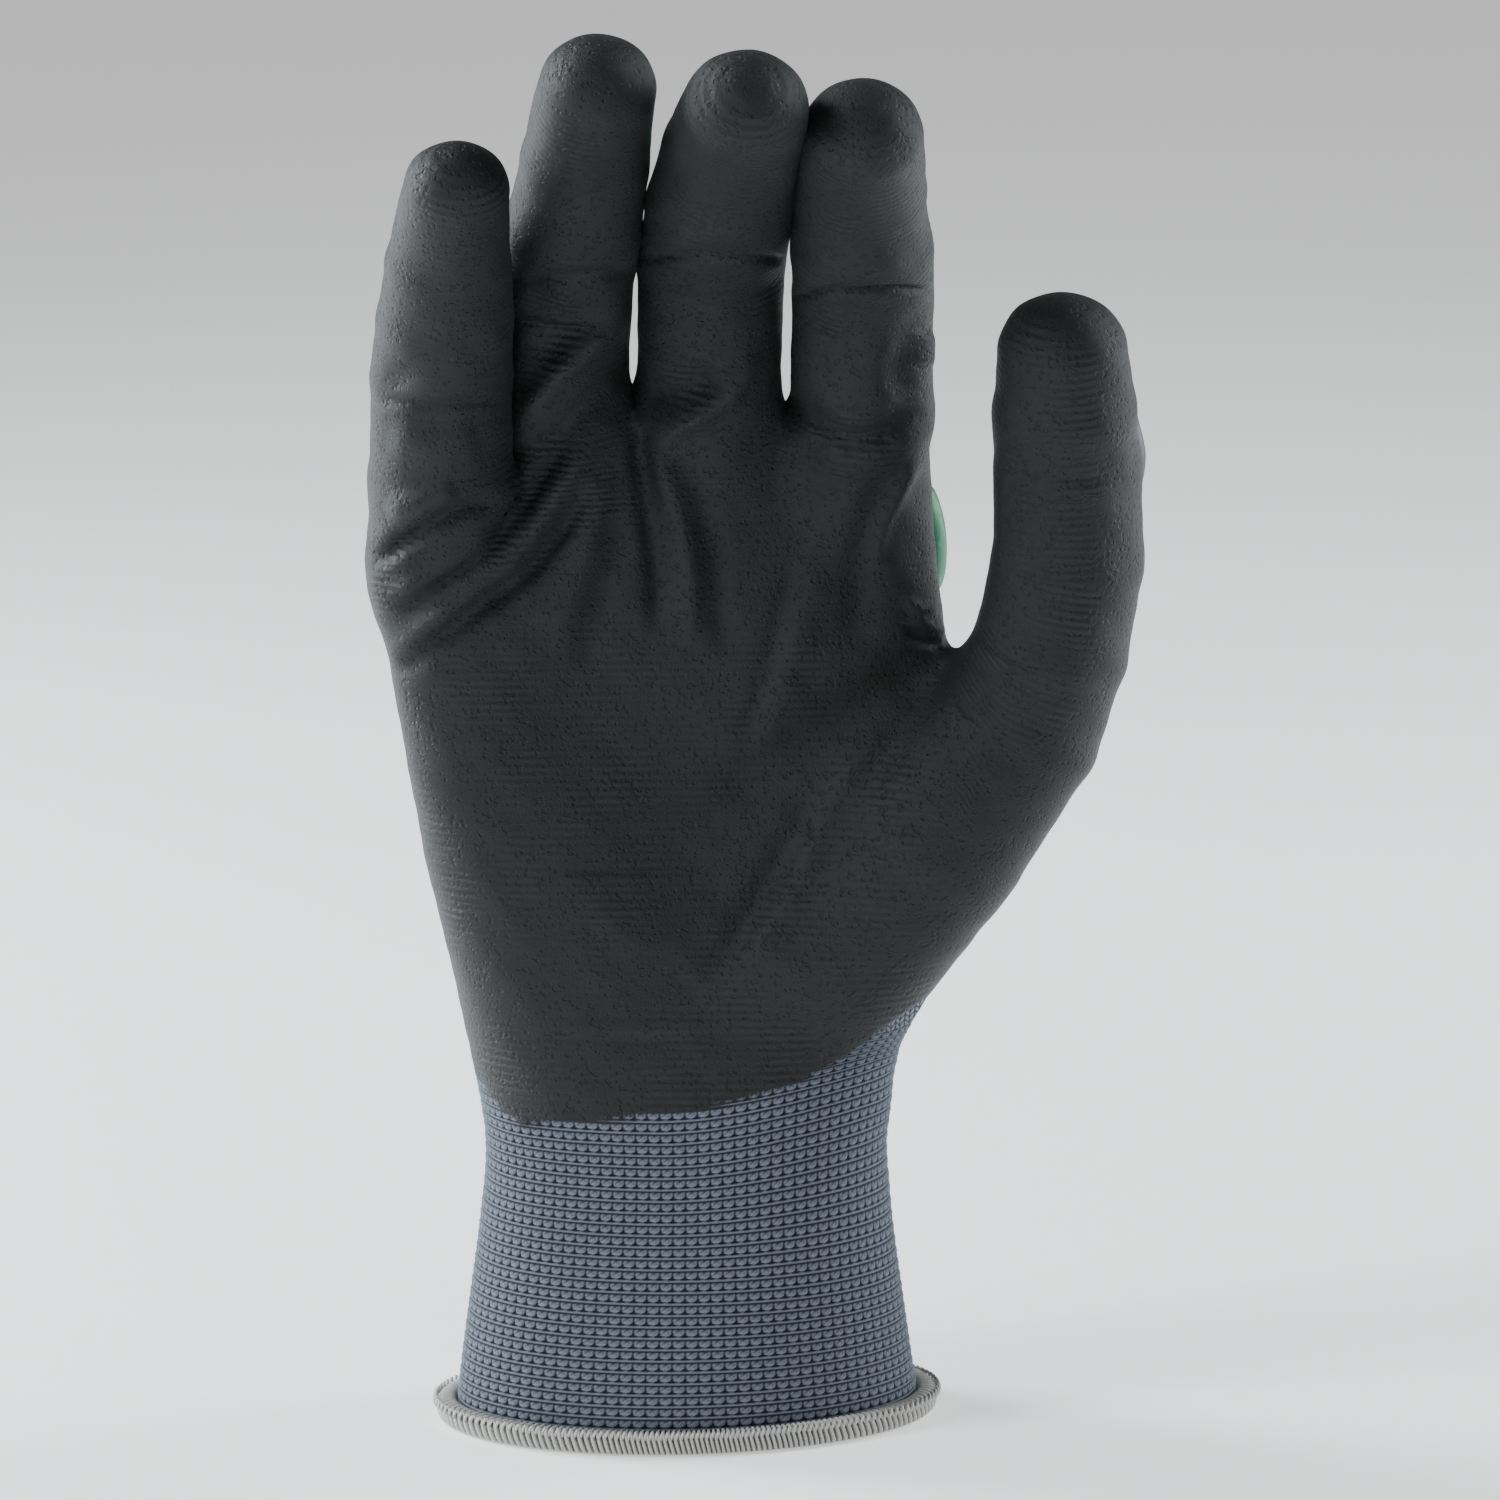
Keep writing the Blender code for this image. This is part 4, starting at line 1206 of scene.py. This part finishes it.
class Shader:
    """Short names for building a material's nodes."""

    def __init__(self, name):
        self.material = bpy.data.materials.new(name)
        self.material.use_nodes = True
        self.tree = self.material.node_tree
        self.surface = self.tree.nodes["Principled BSDF"]

    def link(self, value, socket):
        if isinstance(value, (int, float)):
            socket.default_value = value
        elif isinstance(value, tuple):
            socket.default_value = (*value, 1.0) if len(socket.default_value) == 4 else value
        else:
            self.tree.links.new(value, socket)

    def node(self, kind, output=0, settings=None, **inputs):
        node = self.tree.nodes.new(kind)
        for key, value in (settings or {}).items():
            setattr(node, key, value)
        for key, value in inputs.items():
            self.link(value, node.inputs[key.replace("_", " ")])
        return node.outputs[output]

    def attribute(self, name, output="Fac"):
        return self.node("ShaderNodeAttribute", output, {"attribute_name": name})

    def math(self, operation, a, b=0.0):
        node = self.tree.nodes.new("ShaderNodeMath")
        node.operation = operation
        self.link(a, node.inputs[0])
        self.link(b, node.inputs[1])
        return node.outputs[0]

    def add(self, a, b):
        return self.math("ADD", a, b)

    def subtract(self, a, b):
        return self.math("SUBTRACT", a, b)

    def multiply(self, a, b):
        return self.math("MULTIPLY", a, b)

    def ramp(self, value, low, high, out_low=0.0, out_high=1.0):
        node = self.tree.nodes.new("ShaderNodeMapRange")
        node.interpolation_type = "SMOOTHSTEP"
        names = ("Value", "From Min", "From Max", "To Min", "To Max")
        for key, item in zip(names, (value, low, high, out_low, out_high)):
            self.link(item, node.inputs[key])
        return node.outputs[0]

    def mix(self, share, a, b):
        node = self.tree.nodes.new("ShaderNodeMix")
        node.data_type = "RGBA"
        self.link(share, node.inputs[0])
        self.link(a, node.inputs[6])
        self.link(b, node.inputs[7])
        return node.outputs[2]

    def noise(self, place, scale, detail, roughness):
        return self.node("ShaderNodeTexNoise", Vector=place, Scale=scale, Detail=detail, Roughness=roughness)

    def cells(self, place, scale):
        return self.node("ShaderNodeTexVoronoi", "Distance", Vector=place, Scale=scale)

    def split(self, vector):
        node = self.tree.nodes.new("ShaderNodeSeparateXYZ")
        self.link(vector, node.inputs[0])
        return node.outputs

    def bump(self, height):
        """Bumps of a height in millimetres."""
        return self.node("ShaderNodeBump", Height=height, Strength=1.0, Distance=MM)

    def finish(self, **inputs):
        for key, value in inputs.items():
            self.link(value, self.surface.inputs[key.replace("_", " ")])
        return self.material


def skin_material():
    """Knit and foam coating on one skin: the painted coat value says which."""
    s = Shader("glove_skin")
    add, subtract, multiply, ramp, mix = s.add, s.subtract, s.multiply, s.ramp, s.mix
    rest = s.attribute("rest", "Vector")
    coat, fold = s.attribute("coat"), s.attribute("fold")
    relief, ribbed = s.attribute("relief"), s.attribute("ribbed")
    across, along, _ = s.split(s.attribute("weave", "Vector"))
    plain_knit, bare = subtract(1.0, ribbed), subtract(1.0, coat)

    # V stitches of the hand's plain knit
    course = multiply(along, 1 / KNIT_COURSE)
    off = s.math("ABSOLUTE", subtract(s.math("FRACT", multiply(across, 1 / KNIT_WALE)), 0.5))
    slant = s.math("FRACT", subtract(course, multiply(off, 1.5)))
    strand = s.math("SINE", multiply(slant, math.pi))
    leg = s.math("SINE", multiply(off, 2 * math.pi))
    stitch = multiply(s.math("POWER", strand, 0.7), s.math("POWER", s.math("MAXIMUM", leg, 0.0), 0.6))
    height = add(multiply(stitch, plain_knit), multiply(relief, ribbed))

    # Yarn: painted shade between the stitches, painted highlight on their crests, with pale fibres and course
    # lines
    fibre = s.noise(rest, 3.2, 4.0, 0.7)
    shaded_yarn = mix(ramp(height, 0.15, 0.75), (0.006, 0.008, 0.016), (0.120, 0.136, 0.172))
    shaded_yarn = mix(multiply(ramp(height, 0.75, 1.0), 0.5), shaded_yarn, (0.190, 0.198, 0.222))
    stray = multiply(ramp(fibre, 0.4, 0.75), ramp(height, 0.2, 0.8, 0.0, 0.3))
    shaded_yarn = mix(stray, shaded_yarn, (0.27, 0.30, 0.36))

    # Foam coating: fine pores, soft mottling, painted light and shade on the folds, faint ribs of the knit
    # under it
    grain = s.noise(rest, 2.2, 5.0, 0.68)
    spread = ramp(s.noise(rest, 0.35, 2.0, 0.5), 0.35, 0.65, 0.12, 0.34)
    pore = ramp(subtract(s.cells(rest, 0.85), spread), 0.0, 0.12)
    patch = s.noise(rest, 0.09, 2.0, 0.5)
    shaded_foam = mix(ramp(patch, 0.35, 0.65), (0.0026, 0.0032, 0.0036), (0.0040, 0.0048, 0.0054))
    # Painted highlight on the ridges of the folds and painted shade in their grooves
    shaded_foam = mix(ramp(fold, 0.2, 1.8, 0.0, 0.35), shaded_foam, (0.008, 0.010, 0.011))
    shaded_foam = mix(ramp(fold, -0.2, -2.0, 0.0, 0.7), shaded_foam, (0.0025, 0.0025, 0.0025))
    # Painted shade in the pores
    shaded_foam = mix(pore, (0.003, 0.003, 0.003), shaded_foam)
    rib = s.math("SINE", multiply(course, 2 * math.pi))
    showing = ramp(s.noise(rest, 0.06, 2.0, 0.5), 0.46, 0.62, 0.010, 0.070)
    foam_height = add(add(multiply(grain, 0.24), multiply(pore, 0.20)), multiply(rib, showing))

    knit_bump = add(multiply(stitch, multiply(plain_knit, 0.35)), multiply(fibre, 0.10))
    total = add(multiply(foam_height, coat), multiply(knit_bump, bare))
    uneven = multiply(subtract(grain, 0.5), 0.25)
    return s.finish(
        Base_Color=mix(coat, shaded_yarn, shaded_foam), Roughness=add(multiply(coat, -0.36), add(0.88, uneven)),
        Normal=s.bump(total), Specular_IOR_Level=0.30, Sheen_Weight=0.03, Sheen_Roughness=0.4,
    )


def thread_material():
    s = Shader("overlock_thread")
    rest = s.attribute("rest", "Vector")
    relief = s.attribute("relief")
    fibre = s.noise(rest, 4.0, 3.0, 0.7)
    # Painted shade between the stitch ridges, the thread's own pale grey on their crests, with pale fibres
    colour = s.mix(s.ramp(relief, 0.3, 0.95), (0.05, 0.047, 0.043), (0.46, 0.45, 0.42))
    colour = s.mix(s.ramp(fibre, 0.35, 0.8, 0.0, 0.35), colour, (0.62, 0.61, 0.58))
    return s.finish(Base_Color=colour, Roughness=0.85, Normal=s.bump(s.multiply(fibre, 0.15)),
                    Sheen_Weight=0.3, Sheen_Roughness=0.5)


def moulded_material(name, low, high, roughness):
    s = Shader(name)
    rest = s.attribute("rest", "Vector")
    relief = s.attribute("relief")
    grain = s.noise(rest, 1.3, 4.0, 0.6)
    # Painted shade: darker in the grooves and at the foot of the pad, lighter on its raised top
    colour = s.mix(s.ramp(relief, 0.3, 2.4), low, high)
    colour = s.mix(s.ramp(grain, 0.3, 0.7, 0.0, 0.25), colour, low)
    rough = s.add(roughness, s.multiply(s.subtract(grain, 0.5), 0.3))
    return s.finish(Base_Color=colour, Roughness=rough, Normal=s.bump(s.multiply(grain, 0.08)),
                    Specular_IOR_Level=0.5)


def plain_material(name, colour, roughness, glow):
    s = Shader(name)
    return s.finish(Base_Color=colour, Roughness=roughness, Emission_Color=colour, Emission_Strength=glow)


MATERIALS = {
    "skin": skin_material(),
    "thread": thread_material(),
    "black": moulded_material("moulded_black", (0.010, 0.010, 0.011), (0.020, 0.020, 0.021), 0.48),
    "green": moulded_material("moulded_green", (0.003, 0.10, 0.040), (0.005, 0.22, 0.085), 0.45),
    "floor": plain_material("floor", (0.95, 0.95, 0.95), 0.9, 0.5),
}


# ---------------------------------------------------------------- stage


# Stage, in metres: each light's place, size and power
COOL_LIGHT = (0.90, 0.97, 1.0)
LIGHT_AIM = (0.0, 0.0, 0.12)
LIGHTS = {
    "left_panel": ((-0.90, -0.45, 0.75), (0.30, 0.70), 13.0),
    "front_fill": ((0.40, -1.15, 0.85), (0.50, 0.50), 3.0),
    "left_rim": ((-0.90, 0.40, 0.40), (0.4, 1.0), 26.0),
    "right_rim": ((0.95, 0.35, 0.40), (0.4, 1.0), 14.0),
}
FLOOR_HALF_WIDTH = 3.0
FLOOR_DROP = 0.0002
WORLD_STRENGTH = 0.18


def add_object(name, data, place):
    thing = bpy.data.objects.new(name, data)
    thing.location = place
    bpy.context.scene.collection.objects.link(thing)
    return thing


def face(thing, direction):
    """Turns a lamp or the camera to look along a direction."""
    thing.rotation_mode = "QUATERNION"
    thing.rotation_quaternion = Vector(direction).to_track_quat("-Z", "Y")


def build_stage():
    mesh = bmesh.new()
    bmesh.ops.create_grid(mesh, x_segments=2, y_segments=2, size=FLOOR_HALF_WIDTH)
    data = bpy.data.meshes.new("floor")
    mesh.to_mesh(data)
    mesh.free()
    data.materials.append(MATERIALS["floor"])
    add_object("floor", data, (0, 0, -FLOOR_DROP))

    world = bpy.data.worlds.new("soft_white")
    world.use_nodes = True
    sky = world.node_tree.nodes["Background"]
    sky.inputs["Color"].default_value = (1.0, 1.0, 1.0, 1.0)
    sky.inputs["Strength"].default_value = WORLD_STRENGTH
    bpy.context.scene.world = world

    for name, (place, size, power) in LIGHTS.items():
        data = bpy.data.lights.new(name, "AREA")
        data.shape = "RECTANGLE"
        data.size, data.size_y = size
        data.energy = power
        data.color = COOL_LIGHT
        face(add_object(name, data, place), Vector(LIGHT_AIM) - Vector(place))

    data = bpy.data.cameras.new("camera")
    data.lens = CAMERA_LENS
    data.sensor_width = 36.0
    data.clip_start, data.clip_end = 0.05, 20.0
    camera = add_object("camera", data, EYE * MM)
    face(camera, -EYE_BACK)
    bpy.context.scene.camera = camera


build_stage()
build_hand()
build_cuff()
build_hem()
build_guards()
